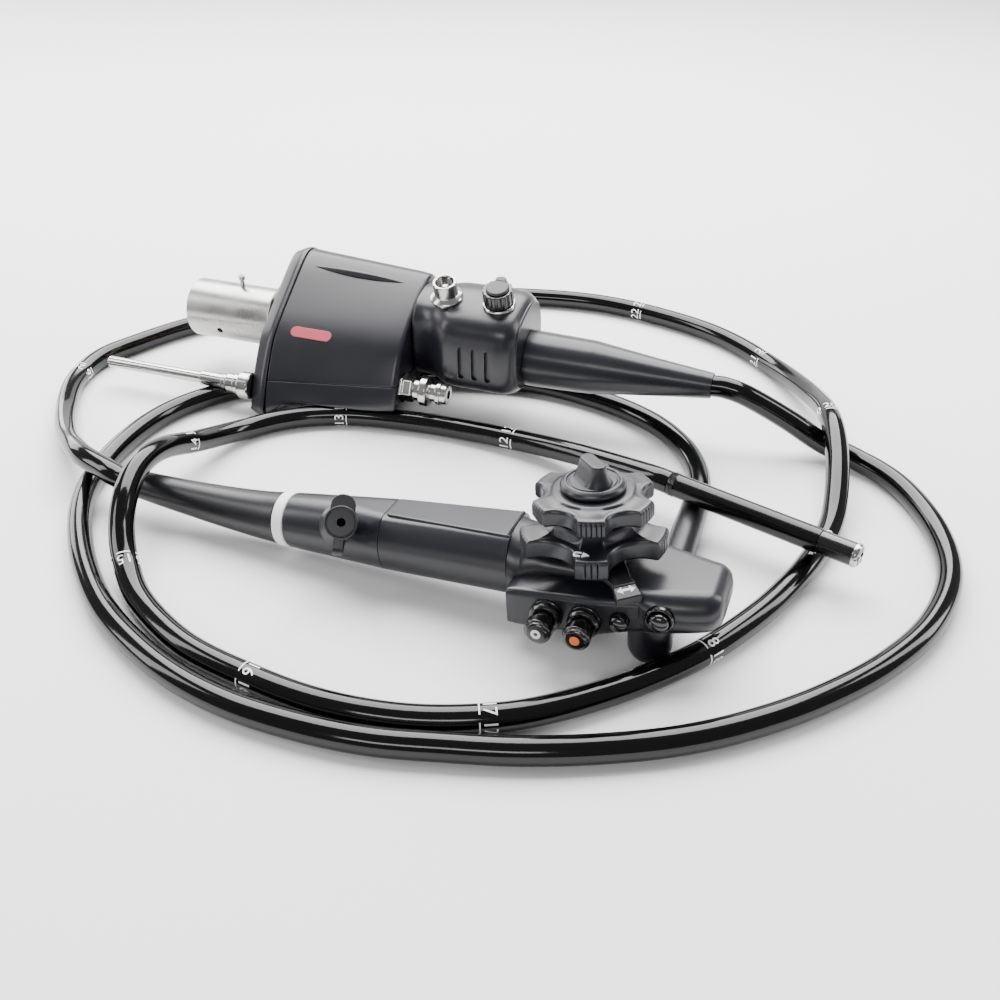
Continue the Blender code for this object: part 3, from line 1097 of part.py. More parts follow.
build_bending_section(BENCH)
build_tubes(BENCH)
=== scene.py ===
"""The dressed endoscope: its visible pieces, their finishes, the floor, the lights and the camera."""

from math import atan2, copysign, cos, radians, sin, sqrt, tau

import bmesh
import bpy
from mathutils import Euler, Matrix, Vector


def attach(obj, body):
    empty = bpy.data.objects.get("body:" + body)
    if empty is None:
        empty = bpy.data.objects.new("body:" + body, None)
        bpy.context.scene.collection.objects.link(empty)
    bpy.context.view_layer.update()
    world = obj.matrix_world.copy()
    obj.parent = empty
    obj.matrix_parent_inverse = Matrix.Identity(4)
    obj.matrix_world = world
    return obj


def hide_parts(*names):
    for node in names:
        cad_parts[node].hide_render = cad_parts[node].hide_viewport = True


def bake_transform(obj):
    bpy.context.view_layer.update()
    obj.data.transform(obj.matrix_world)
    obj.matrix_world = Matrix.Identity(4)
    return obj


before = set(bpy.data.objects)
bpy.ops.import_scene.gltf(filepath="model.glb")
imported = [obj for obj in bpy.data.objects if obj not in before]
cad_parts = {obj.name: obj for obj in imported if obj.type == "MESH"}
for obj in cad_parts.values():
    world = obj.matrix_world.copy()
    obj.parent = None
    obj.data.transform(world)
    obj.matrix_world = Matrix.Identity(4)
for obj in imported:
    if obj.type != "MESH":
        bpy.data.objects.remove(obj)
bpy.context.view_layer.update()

GAP = 0.3
MILLIMETRES = Matrix.Scale(0.001, 4)
DRESS = bpy.data.collections.new("dress")
bpy.context.scene.collection.children.link(DRESS)


def placed(base, location, roll=0.0, pitch=0.0, yaw=0.0):
    """A frame on another one, its angles in degrees and its location in millimetres."""
    turn = Euler([radians(angle) for angle in (roll, pitch, yaw)]).to_matrix().to_4x4()
    return base @ Matrix.Translation(location) @ turn


BENCH = placed(MILLIMETRES, (35.5, -19.95, 0))
CONNECTOR = placed(BENCH, (-125.2, 135.9, 36), yaw=-19)
BODY = placed(BENCH, (-100.7, -37.8, 16), roll=-4, pitch=-5, yaw=-20)
ELBOW_AT = Vector((62, -113.5, 8.6))
ELBOW_YAW = 71
ELBOW = placed(BENCH, ELBOW_AT, yaw=ELBOW_YAW)
BENDING_AT = Vector((83, -14, 19.6))
BENDING_YAW = -37.6
BENDING = placed(BENCH, BENDING_AT, yaw=BENDING_YAW)


# Camera

CAMERA_AT = (0.0355, -0.45675, 0.3036)
CAMERA_TILT = 55.2
CAMERA_LENS = 37.8
CAMERA_SENSOR = 36


def make_camera():
    data = bpy.data.cameras.new("camera")
    data.lens = CAMERA_LENS
    data.sensor_width = CAMERA_SENSOR
    camera = bpy.data.objects.new("camera", data)
    camera.location = CAMERA_AT
    camera.rotation_euler = (radians(CAMERA_TILT), 0, 0)
    bpy.context.scene.collection.objects.link(camera)
    bpy.context.scene.camera = camera


make_camera()


# Finishes

class Field:
    """A shader socket that takes part in plain arithmetic."""

    def __init__(self, finish, socket):
        self.finish = finish
        self.socket = socket

    def worked(self, operation, first, second):
        node = self.finish.node("ShaderNodeMath", {"operation": operation}, {0: first, 1: second})
        return Field(self.finish, node.outputs[0])

    def __add__(self, other):
        return self.worked("ADD", self, other)

    def __sub__(self, other):
        return self.worked("SUBTRACT", self, other)

    def __mul__(self, other):
        return self.worked("MULTIPLY", self, other)


class Finish:
    """A material, with one way to add any node to it."""

    def __init__(self, name, **sockets):
        self.material = bpy.data.materials.new(name)
        self.material.use_nodes = True
        self.tree = self.material.node_tree
        self.shader = self.tree.nodes["Principled BSDF"]
        self.where = Field(self, self.node("ShaderNodeTexCoord").outputs["Object"])
        for socket, value in sockets.items():
            self.set(socket.replace("_", " "), value)

    def node(self, kind, settings=None, inputs=None):
        made = self.tree.nodes.new(kind)
        for key, value in (settings or {}).items():
            setattr(made, key, value)
        for key, value in (inputs or {}).items():
            self.feed(made.inputs[key], value)
        return made

    def feed(self, socket, value):
        if isinstance(value, Field):
            self.tree.links.new(value.socket, socket)
        else:
            socket.default_value = value

    def set(self, socket, value):
        self.feed(self.shader.inputs[socket], value)

    def turned_to(self, turn, stretch=(1, 1, 1)):
        """Object coordinates turned and stretched to lie along a piece."""
        node = self.node(
            "ShaderNodeMapping", {"vector_type": "TEXTURE"},
            {"Vector": self.where, "Rotation": turn, "Scale": stretch})
        return Field(self, node.outputs[0])

    def noise(self, scale, detail=2.0, where=None):
        node = self.node(
            "ShaderNodeTexNoise", {}, {"Vector": where or self.where, "Scale": scale, "Detail": detail})
        return Field(self, node.outputs[0])

    def between(self, field, low, high, start=0.0, end=1.0):
        """The field, mapped from low and high to start and end, and held there."""
        limits = {"From Min": low, "From Max": high, "To Min": start, "To Max": end}
        node = self.node("ShaderNodeMapRange", {}, {"Value": field, **limits})
        return Field(self, node.outputs[0])

    def mixed(self, share, first, second):
        node = self.node("ShaderNodeMix", {"data_type": "RGBA"}, {0: share, 6: first, 7: second})
        return Field(self, node.outputs[2])

    def bumped(self, height, strength, depth):
        node = self.node("ShaderNodeBump", {}, {"Height": height, "Strength": strength, "Distance": depth})
        self.set("Normal", Field(self, node.outputs[0]))


def grey(level, tint=0.0):
    return (level, level, level * (1 + tint), 1.0)


def toned(colour, share):
    return [channel * share for channel in colour[:3]] + [1.0]


def moulded(name, colour, roughness, grain=0.25, smear=0.02, coat=0.0):
    """Moulded plastic: a fine spark-eroded grain, faint handling marks and slightly uneven colour."""
    finish = Finish(name, Coat_Roughness=0.25)
    hand = finish.noise(38, 3)
    spots = finish.noise(2600, 1)
    finish.set("Base Color", finish.mixed(finish.between(hand, 0.35, 0.7), colour, toned(colour, 1.18)))
    finish.set("Roughness", finish.between(hand, 0.3, 0.72, roughness - smear, roughness + smear)
               + (spots - 0.5) * 0.05)
    if coat:
        finish.set("Coat Weight", coat)
    finish.bumped(spots, grain, 0.00002)
    return finish.material


def polished_tube(name, colour, roughness):
    """Smooth polyurethane skin: glossy and faintly wavy from the coil under it, with fine wiping marks."""
    finish = Finish(name, Coat_Roughness=0.08, Specular_IOR_Level=0.34)
    wave = finish.noise(160, 2)
    wipes = finish.noise(900, 3)
    finish.set("Base Color", finish.mixed(finish.between(finish.noise(24, 2), 0.35, 0.7), colour,
                                          toned(colour, 1.6)))
    finish.set("Roughness", finish.between(wipes, 0.35, 0.75, roughness * 0.8, roughness * 1.5))
    finish.set("Coat Weight", 0.1)
    finish.bumped(wave * 0.8 + wipes * 0.2, 0.18, 0.0002)
    return finish.material


def machined(name, colour, roughness, yaw=0.0, brushed=1.0):
    """Turned steel: fine rings square to the piece's axis, with a few softer patches."""
    finish = Finish(name, Metallic=1.0)
    along = finish.turned_to((0, 0, radians(yaw)), (0.004, 1, 1))
    lines = finish.noise(18, 4, along)
    patches = finish.noise(70, 2)
    finish.set("Base Color", finish.mixed(finish.between(lines, 0.3, 0.7), colour, toned(colour, 0.82)))
    finish.set("Roughness", finish.between(patches, 0.3, 0.7, roughness * 0.8, roughness * 1.25)
               + (lines - 0.5) * 0.12 * brushed)
    finish.bumped(lines, 0.12 * brushed, 0.00003)
    return finish.material


def printed(name, colour, wear=0.3):
    """Ink or paint, thin in places."""
    finish = Finish(name)
    worn = finish.between(finish.noise(1500, 4), 0.62, 0.8)
    finish.set("Base Color", finish.mixed(worn * wear, colour, toned(colour, 0.7)))
    finish.set("Roughness", finish.between(finish.noise(400, 2), 0.3, 0.7, 0.35, 0.55))
    return finish.material


def glass(name, colour):
    finish = Finish(name, IOR=1.5)
    depth = finish.between(finish.noise(600, 2), 0.35, 0.65)
    finish.set("Base Color", finish.mixed(depth, colour, toned(colour, 0.7)))
    finish.set("Roughness", finish.between(depth, 0, 1, 0.02, 0.05))
    finish.set("Coat Weight", 1.0)
    return finish.material


SHELL = moulded("charcoal_shell", grey(0.0068, 0.55), 0.33, grain=0.08, coat=0.06)
RUBBER = moulded("matt_rubber", grey(0.0045, 0.4), 0.34, grain=0.2)
GLOSS = moulded("gloss_plastic", grey(0.003, 0.2), 0.14, grain=0.06, coat=0.4)
CAP_GREY = moulded("cap_rubber", grey(0.02, 0.15), 0.45, grain=0.4)
TUBE = polished_tube("tube_skin", grey(0.0012, 0.2), 0.1)
SLEEVE = polished_tube("bending_rubber", grey(0.0015, 0.1), 0.16)
STEEL = machined("turned_steel", (0.5, 0.49, 0.48, 1), 0.3, yaw=-19)
BRIGHT = machined("polished_steel", (0.58, 0.57, 0.56, 1), 0.18, yaw=-19, brushed=0.4)
GOLD = machined("gold_contacts", (0.83, 0.6, 0.24, 1), 0.24, brushed=0.4)
WHITE = printed("white_ring", grey(0.86), 0.15)
INK = printed("white_ink", grey(0.9), 0.35)
ORANGE = printed("orange_mark", (0.75, 0.16, 0.03, 1))
OVAL = printed("oval_inlay", (0.46, 0.06, 0.1, 1), 0.2)
LENS = glass("lens_glass", (0.16, 0.2, 0.28, 1))
LAMP = glass("light_glass", (0.62, 0.68, 0.72, 1))


# Ways of shaping

def blend(first, last, share):
    return first + (last - first) * share


def rounded_outline(points, rounds=3):
    """A closed outline with its corners cut again and again, until it is smooth."""
    outline = [Vector(point) for point in points]
    for _ in range(rounds):
        cut = []
        for first, last in zip(outline, outline[1:] + outline[:1]):
            cut += [first.lerp(last, 0.25), first.lerp(last, 0.75)]
        outline = cut
    return outline


def curved(knots, between):
    """Points on a smooth open curve through the knots, which are vectors or lists of vectors."""
    if isinstance(knots[0], list):
        return [list(points) for points in zip(*[curved(list(line), between) for line in zip(*knots)])]
    ends = [knots[0] * 2 - knots[1], *knots, knots[-1] * 2 - knots[-2]]
    points = []
    for a, b, c, d in zip(ends, ends[1:], ends[2:], ends[3:]):
        for step in range(between):
            t = step / between
            points.append(
                0.5 * (2 * b + (c - a) * t + (2 * a - 5 * b + 4 * c - d) * t ** 2
                       + (3 * b - a - 3 * c + d) * t ** 3))
    return [*points, knots[-1]]


def drawn_through(rings, bored=False):
    """A skin drawn from the first ring through all the others, which have as many points. Its ends
    are closed, or met by each other where it is bored."""
    bm = bmesh.new()
    rim = [bm.verts.new(point) for point in rings[0]]
    start = edges = [bm.edges.new(pair) for pair in zip(rim, rim[1:] + rim[:1])]
    if not bored:
        bmesh.ops.contextual_create(bm, geom=edges)
    for ring in rings[1:]:
        made = bmesh.ops.extrude_edge_only(bm, edges=edges)["geom"]
        fresh = {item for item in made if isinstance(item, bmesh.types.BMVert)}
        edges = [item for item in made if isinstance(item, bmesh.types.BMEdge) and item.verts[0] in fresh
                 and item.verts[1] in fresh]
        rim = [next(edge.other_vert(vert) for edge in vert.link_edges if edge.other_vert(vert) in fresh)
               for vert in rim]
        for vert, point in zip(rim, ring):
            vert.co = point
    if bored:
        bmesh.ops.bridge_loops(bm, edges=start + edges)
    else:
        bmesh.ops.contextual_create(bm, geom=edges)
    return faced(bm)


ROUNDNESS = cos(radians(45))


def filleted(corners, steps=8):
    """A closed outline through corners of (x, y, z, radius), each rounded by as many points."""
    outline = []
    for before, corner, after in zip(corners[-1:] + corners[:-1], corners, corners[1:] + corners[:1]):
        at = Vector(corner[:3])
        back = Vector(before[:3]) - at
        on = Vector(after[:3]) - at
        reach = min(corner[3], back.length / 2, on.length / 2)
        first = at + back.normalized() * reach
        last = at + on.normalized() * reach
        for step in range(steps + 1):
            t = step / steps
            pull = 2 * t * (1 - t) * ROUNDNESS
            near, far = (1 - t) ** 2, t ** 2
            outline.append((first * near + at * pull + last * far) / (near + pull + far))
    return outline


def rounded_box(first, last, corner, height=0, steps=8):
    """A rectangle's outline from one corner to the opposite one, with all four rounded."""
    sides = ((first[0], first[1]), (last[0], first[1]), (last[0], last[1]), (first[0], last[1]))
    return filleted([(x, y, height, corner) for x, y in sides], steps)


def round_axis(angle, reach, *height):
    """A point at an angle and a reach from the Z axis."""
    return Vector((reach * cos(angle), reach * sin(angle), *height))


def faced(bm):
    bmesh.ops.remove_doubles(bm, verts=bm.verts, dist=0.0005)
    bmesh.ops.recalc_face_normals(bm, faces=bm.faces)
    return bm


def softened(bm, width, segments=3, angle=30.0):
    """Rounds every edge that turns by more than the angle."""
    limit = radians(angle)
    edges = [edge for edge in bm.edges if len(edge.link_faces) == 2 and edge.calc_face_angle() > limit]
    bmesh.ops.bevel(
        bm, geom=edges, offset=width, offset_type="OFFSET", affect="EDGES", segments=segments, profile=0.5,
        material=-1, clamp_overlap=True)
    return bm


def shrunk(ring, depth):
    """A ring in a plane, moved inwards by the depth."""
    centre = sum(ring, Vector()) / len(ring)
    normal = Vector()
    for first, last in zip(ring, ring[1:] + ring[:1]):
        normal += (first - centre).cross(last - centre)
    normal.normalize()
    moved = []
    for before, point, after in zip(ring[-1:] + ring[:-1], ring, ring[1:] + ring[:1]):
        inward = normal.cross(after - before).normalized()
        moved.append(point + inward * depth)
    return moved


def rounded_ends(rings, first=0.0, last=0.0, steps=4):
    """The same rings, with the skin's two ends rounded over."""
    ahead = (sum(rings[1], Vector()) - sum(rings[0], Vector())).normalized()
    behind = (sum(rings[-2], Vector()) - sum(rings[-1], Vector())).normalized()
    done = list(rings)
    for radius, direction, at_end in ((first, ahead, False), (last, behind, True)):
        if radius == 0:
            continue
        edge = done.pop() if at_end else done.pop(0)
        turned_over = []
        for step in range(steps + 1):
            angle = radians(90) * step / steps
            ring = shrunk(edge, radius * (1 - sin(angle)))
            turned_over.append([point + direction * radius * (1 - cos(angle)) for point in ring])
        done = done + turned_over[::-1] if at_end else turned_over + done
    return done


def rings_along(points, radii, sides=40):
    """Round rings square to a path, turned as little as possible from one to the next."""
    rings = []
    ahead = (points[1] - points[0]).normalized()
    side = ahead.orthogonal().normalized()
    for place, (point, radius) in enumerate(zip(points, radii)):
        way = (points[min(place + 1, len(points) - 1)] - points[max(place - 1, 0)]).normalized()
        side = ahead.rotation_difference(way) @ side
        ahead = way
        up = ahead.cross(side)
        rings.append(
            [point + (side * cos(tau * step / sides) + up * sin(tau * step / sides)) * radius
             for step in range(sides)])
    return rings


def rod(radius, bottom, top, chamfer=0.0):
    if chamfer == 0.0:
        return [(0, top), (radius, top), (radius, bottom), (0, bottom)]
    return [(0, top), (radius - chamfer, top), (radius, top - chamfer), (radius, bottom + chamfer),
            (radius - chamfer, bottom), (0, bottom)]


def facing(at, direction):
    """A frame with its Z along a direction."""
    return Matrix.Translation(at) @ Vector(direction).to_track_quat("Z", "Y").to_matrix().to_4x4()


def about_z(degrees):
    return Matrix.Rotation(radians(degrees), 4, "Z")


def turned(profile, at=(0, 0, 0), direction=(0, 0, 1), steps=72, ring=False, edge=0.0):
    """A turned shape: (radius, height) down its outer side, spun round and laid along a direction."""
    bm = bmesh.new()
    verts = [bm.verts.new((radius, 0, height)) for radius, height in profile]
    edges = [bm.edges.new(pair) for pair in zip(verts, verts[1:])]
    if ring:
        edges.append(bm.edges.new((verts[-1], verts[0])))
    bmesh.ops.spin(
        bm, geom=verts + edges, cent=(0, 0, 0), axis=(0, 0, 1), angle=tau, steps=steps, use_merge=True,
        use_duplicate=False)
    faced(bm)
    if edge:
        softened(bm, edge, 2, 20)
    return turned_by(bm, facing(at, direction))


def slab(outline, bottom, top, edge=0.0, segments=3):
    """An outline in X and Y, drawn up along Z, its rims rounded."""
    rings = [[Vector((point[0], point[1], height)) for point in outline] for height in (bottom, top)]
    if edge:
        rings = rounded_ends(rings, edge, edge, segments)
    return drawn_through(rings)


def block(low, high):
    bm = bmesh.new()
    bmesh.ops.create_cube(bm, size=1.0)
    size = Vector(high) - Vector(low)
    bmesh.ops.scale(bm, vec=size, verts=bm.verts)
    bmesh.ops.translate(bm, vec=Vector(low) + size / 2, verts=bm.verts)
    return bm


def turned_by(bm, matrix):
    bmesh.ops.transform(bm, matrix=matrix, verts=bm.verts)
    return bm


def as_object(name, bm):
    mesh = bpy.data.meshes.new(name)
    bm.to_mesh(mesh)
    bm.free()
    item = bpy.data.objects.new(name, mesh)
    DRESS.objects.link(item)
    return item


def joined(bm, *others, operation="UNION"):
    """One solid with others added to it or cut out of it."""
    item = as_object("worked", bm)
    tools = [as_object("tool", other) for other in others]
    for tool in tools:
        step = item.modifiers.new("step", "BOOLEAN")
        step.operation = operation
        step.object = tool
        step.solver = "EXACT"
    bpy.context.view_layer.update()
    result = bmesh.new()
    result.from_object(item, bpy.context.evaluated_depsgraph_get())
    for spent in [item, *tools]:
        bpy.data.objects.remove(spent, do_unlink=True)
    return result


def without(bm, *others):
    return joined(bm, *others, operation="DIFFERENCE")


def finished(name, bm, base, material, crease):
    """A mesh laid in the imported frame, with its finish and creases sharper than an angle in degrees."""
    turned_by(bm, base)
    bmesh.ops.recalc_face_normals(bm, faces=bm.faces)
    item = as_object(name, bm)
    item.data.shade_smooth()
    item.data.set_sharp_from_angle(angle=radians(crease))
    item.data.materials.append(material)
    return item


def piece(name, bm, base, material, node=None, body="root", crease=32.0):
    """A finished piece with its body and the node it stands for."""
    item = finished(name, bm, base, material, crease)
    even = item.modifiers.new("even_shading", "WEIGHTED_NORMAL")
    even.keep_sharp = True
    if node:
        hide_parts(node)
    if body:
        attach(item, body)
    return item


def stand(at, normal, along=(1, 0, 0)):
    """A frame with its Z on a surface's normal and its X along it."""
    up = Vector(normal).normalized()
    across = up.cross(Vector(along)).normalized()
    return Matrix.Translation(at) @ Matrix((across.cross(up), across, up)).transposed().to_4x4()


def dome(radius, bottom, top, rise):
    """The outline of a push button with a round top."""
    arc = [(radius * sin(radians(10 * step)), top - rise * (1 - cos(radians(10 * step))))
           for step in range(10)]
    return [*arc, (radius, bottom), (0, bottom)]


# The two flexible tubes

TUBE_RADIUS = 5.8
RESTING = 5.9
BOOT_TIP = TUBE_RADIUS + 0.9
INSERTION_ROUTE = [
    (-196, 0, 19), (-213, 15, 18.6), (-232, 46, 11), (-246, 82, 6), (-252, 116), (-246, 145), (-229, 166),
    (-205, 188), (-173, 208), (-136, 223), (-82, 235), (-28, 239), (24, 236), (68, 226), (108, 204),
    (142, 174), (166, 132, 6.5), (176, 84, 14), (175, 44, 21.6), (170, 8, 17), (160, -27, 8), (144, -55),
    (123, -82), (102, -103), (78, -122), (47, -139), (15, -151), (-12, -155), (-40, -154), (-70, -146.6),
    (-99, -133.2), (-130, -114), (-155, -88, 6.2), (-167, -68, 10), (-173, -50, 19), (-174, -32, 28),
    (-172, -14, 31.2), (-167, 6, 27.5), (-158, 32, 15.5), (-142, 57, 7), (-118, 71), (-88, 75), (-56, 70),
    (-22, 60, 6), (14, 43, 8), (41, 24, 12), (64, 3, 17)]
UMBILICAL_ROUTE = [
    (131, 48.5, 32.5), (151, 45.5, 21.5), (171, 40, 9.9), (189, 27), (203, 2), (208, -34), (202, -69),
    (183, -101), (156, -126), (125, -145), (95, -158), (67, -166), (37, -170), (7, -171), (-22, -169),
    (-49, -166), (-76, -159), (-104, -148), (-129, -133), (-151, -114), (-172, -90), (-189, -61), (-201, -32),
    (-207, -8), (-208, 14), (-204, 41), (-195, 66), (-182, 85), (-164, 99.6), (-145, 108.5), (-110, 116),
    (-70, 120), (-30, 121), (20, 112), (58, 92), (84, 68), (98, 42), (102, 18, 6.3)]
BOOT_RISE = 8.0
CONNECTOR_BOOT_END = 249.9
INSERTION_BOOT_END = -82.0
ELBOW_ARM = 16.0
UMBILICAL_BOOT = 90.0


def laid(route):
    """Points over the bench, where one without a height of its own rests on it."""
    return [Vector((*point, RESTING)[:3]) for point in route]


def on_bench(base, point):
    return BENCH.inverted() @ (base @ Vector(point))


def routed(knots):
    """A fine path through the knots that never sinks into the bench."""
    return [Vector((p.x, p.y, max(p.z, RESTING))) for p in curved(knots, 12)]


def cord_piece(name, knots, node):
    path = routed(knots)
    bm = drawn_through(rings_along(path, [TUBE_RADIUS] * len(path)))
    tube = piece(name, bm, BENCH, TUBE, node=node)
    return path


def heading(yaw):
    return Vector((cos(radians(yaw)), sin(radians(yaw)), 0))


def make_tubes():
    """Both cords, from boot to boot. Gives the insertion tube's path, for its marks."""
    ahead = heading(BENDING_YAW)
    insertion = [
        on_bench(BODY, (INSERTION_BOOT_END - 0.6, 0, BOOT_RISE)),
        on_bench(BODY, (INSERTION_BOOT_END - 9, 0, BOOT_RISE + 1.2)), *laid(INSERTION_ROUTE),
        BENDING_AT - ahead * 9, BENDING_AT - ahead * GAP]
    along = heading(ELBOW_YAW)
    end = ELBOW_AT + along * (ELBOW_ARM + UMBILICAL_BOOT + 0.6)
    end.z = TUBE_RADIUS + 1.0
    umbilical = [
        on_bench(CONNECTOR, (CONNECTOR_BOOT_END + 0.3, 0, 0)), on_bench(CONNECTOR, (258.6, 0, 0)),
        *laid(UMBILICAL_ROUTE), end + along * 9, end]
    path = cord_piece("insertion_tube_skin", insertion, "insertion_tube")
    cord_piece("umbilical_cable_skin", umbilical, "umbilical_cable")
    return path


INSERTION_PATH = make_tubes()
FIRST_MARK = 97.0
MARK_STEP = 98.6
FIRST_NUMBER = 12
MARKS = 15
MARK_ROWS = 4
INK_DEPTH = 0.04
NUMBER_SIZE = 7.6
NUMBER_OFFSET = 3.9
FINE_EDGE = 1.2
TICK_CORNER = Vector((3, 0.3, INK_DEPTH))


def lettering(text, size):
    """Plain type as a thin solid, centred, its long edges cut so that it can be wrapped."""
    curve = bpy.data.curves.new("lettering", "FONT")
    curve.body = text
    curve.size = size
    curve.extrude = INK_DEPTH
    curve.resolution_u = 3
    curve.align_x = "CENTER"
    curve.align_y = "CENTER"
    item = bpy.data.objects.new("lettering", curve)
    DRESS.objects.link(item)
    bpy.context.view_layer.update()
    mesh = bpy.data.meshes.new_from_object(item.evaluated_get(bpy.context.evaluated_depsgraph_get()))
    bm = bmesh.new()
    bm.from_mesh(mesh)
    bpy.data.objects.remove(item, do_unlink=True)
    bmesh.ops.remove_doubles(bm, verts=bm.verts, dist=0.001)
    bmesh.ops.triangulate(bm, faces=bm.faces)
    return cut_fine(bm)


def cut_fine(bm):
    for _ in range(3):
        long = [edge for edge in bm.edges if edge.calc_length() > FINE_EDGE]
        bmesh.ops.subdivide_edges(bm, edges=long, cuts=1)
        bmesh.ops.triangulate(bm, faces=bm.faces)
    return bm


def place_along(path, distance):
    """The point and the direction at a distance along a path."""
    for first, last in zip(path, path[1:]):
        step = (last - first).length
        if distance <= step:
            return first.lerp(last, distance / step), (last - first).normalized()
        distance -= step
    return path[-1], (path[-1] - path[-2]).normalized()


def wrapped(bm, path, distance, around):
    """Flat work laid on the tube: its Y runs along the tube and its X round it."""
    for vert in bm.verts:
        point, ahead = place_along(path, distance + vert.co.y)
        side = ahead.cross(Vector((0, 0, 1))).normalized()
        up = side.cross(ahead)
        angle = around + vert.co.x / TUBE_RADIUS
        vert.co = point + (up * cos(angle) + side * sin(angle)) * (TUBE_RADIUS + INK_DEPTH + vert.co.z)
    return bm


def make_depth_marks():
    path = INSERTION_PATH[::-1]
    marks = bmesh.new()
    spare = bpy.data.meshes.new("mark")
    for number in range(MARKS):
        distance = FIRST_MARK + MARK_STEP * number
        for row in range(MARK_ROWS):
            around = tau * row / MARK_ROWS
            tick = cut_fine(block(-TICK_CORNER, TICK_CORNER))
            digits = lettering(str(FIRST_NUMBER + number), NUMBER_SIZE)
            for bm, offset in ((digits, NUMBER_OFFSET), (tick, 0.0)):
                wrapped(bm, path, distance + offset, around).to_mesh(spare)
                marks.from_mesh(spare)
                bm.free()
    piece("depth_marks", marks, BENCH, INK)


# Light-source connector

PLATE_SECTION = [
    (-57, -33), (-53, -22), (-48, -12), (-37, 5), (-29, 12), (-11, 24), (10, 38), (19, 39.5), (28, 35),
    (36, 22), (38, 6), (37, -9), (31, -18), (20, -22), (0, -23.2), (-24, -23.7), (-33, -24.2), (-38, -30),
    (-42, -35.7), (-53, -35.7)]
HOUSING_END_SECTION = [
    (-45, -22), (-43.5, -15), (-41, -8), (-33, 5), (-26, 12), (-8, 24), (9, 33.5), (17, 34.5), (25, 30),
    (31, 19), (33, 5), (32, -8), (27, -16), (17, -19), (0, -20), (-20, -20.5), (-28, -21), (-33, -22.5),
    (-37, -24), (-43, -24)]
REAR_SECTION = [
    (-27, -8), (-28, 6), (-27, 22), (-20, 29.5), (-6, 33.6), (6, 35), (16, 33), (24, 25), (27, 10), (25, -6),
    (16, -16), (0, -19), (-14, -17.5), (-23, -13)]
PLATE_INSETS = (
    (0, 3.8), (0.3, 3.3), (0.9, 2.9), (2, 2.4), (4.4, 1.3), (6.6, 0.4), (7.3, 0.12), (8.2, 0), (10, 0))
REAR_SIZES = (
    (0.0, 0.62, 0.92), (0.1, 0.63, 0.925), (0.2, 0.72, 0.94), (0.3, 0.9, 0.98), (0.4, 1.0, 1.0),
    (0.65, 1.0, 1.0), (0.88, 1.0, 0.99), (1.0, 0.84, 0.86))
BOOT_ROWS = (
    (0, 15.4), (0.01, 16.0), (0.12, 15.8), (0.34, 15.2), (0.4, 14.6), (0.7, 10.7), (0.99, 7.4), (1, 6.9))
HOUSING_FRONT = 10.3
HOUSING_BACK = 86.3
REAR_START = 86.6
REAR_END = 149.6
NOSE_END = 24.0
BOOT_LENGTH = 100
BOOT_SIDES = 12
FORWARD = (-1, 0, 0)


def housing_section(x):
    share = x / HOUSING_BACK
    lift = min(1.0, (x - HOUSING_FRONT) / (NOSE_END - HOUSING_FRONT))
    section = []
    for a, b in zip(PLATE_SECTION, HOUSING_END_SECTION):
        z = blend(a[1], b[1], share)
        section.append(Vector((x, blend(a[0], b[0], share), blend(z, max(z, -24.0), lift))))
    return section


def make_end_plate():
    outline = rounded_outline([(0, y, z) for y, z in PLATE_SECTION])
    rings = []
    for x, inset in PLATE_INSETS:
        ring = shrunk(outline, inset) if inset else outline
        rings.append([point + Vector((x, 0, 0)) for point in ring])
    piece("end_plate_skin", drawn_through(rounded_ends(rings, 0, 0.6)), CONNECTOR, SHELL,
          node="connector_end_plate")


def make_housing():
    slope = (-9.5 + 15.0) / HOUSING_BACK
    up = Vector((-slope, 0, 1)).normalized()
    seam = Vector((0, 0, -15.0))
    stations = [HOUSING_FRONT + (HOUSING_BACK - HOUSING_FRONT) * step / 8 for step in range(9)]
    rings = rounded_ends([rounded_outline(housing_section(x)) for x in stations], 0.8, 3.0)
    shells = (("housing_skin", "connector_housing", seam + up * 0.15, -up),
              ("base_skin", "connector_base", seam - up * 0.15, up))
    for name, node, at, normal in shells:
        bm = drawn_through(rings)
        bmesh.ops.bisect_plane(
            bm, geom=[*bm.verts, *bm.edges, *bm.faces], dist=0.0001, plane_co=at, plane_no=normal,
            clear_outer=True)
        rim = [edge for edge in bm.edges if edge.is_boundary]
        bmesh.ops.contextual_create(bm, geom=rim)
        faced(bm)
        rim = [edge for edge in rim if edge.is_valid]
        bmesh.ops.bevel(
            bm, geom=rim, offset=0.5, offset_type="OFFSET", affect="EDGES", segments=2, profile=0.5,
            material=-1, clamp_overlap=False)
        if name == "housing_skin":
            first, last = Vector((17.5, 5.2, 33.8)), Vector((75.2, 4.8, 31.3))
            line = [first.lerp(last, step / 24) for step in range(25)]
            groove = rings_along(line, [0.05 + 2.3 * (1 - (step / 12 - 1) ** 2) for step in range(25)], 24)
            bm = without(bm, drawn_through(groove))
        piece(name, bm, CONNECTOR, SHELL, node=node)


def make_bare_plate():
    """The bare oval plate let into the near slope of the housing."""
    inlay = slab(rounded_box((-12.4, -3.1), (12.4, 3.1), 3.1), -1.0, 0.35, 0.3)
    piece("bare_plate", turned_by(inlay, stand((31.5, -30.6, 9.5), (0.02, -0.65, 0.76))), CONNECTOR, OVAL)


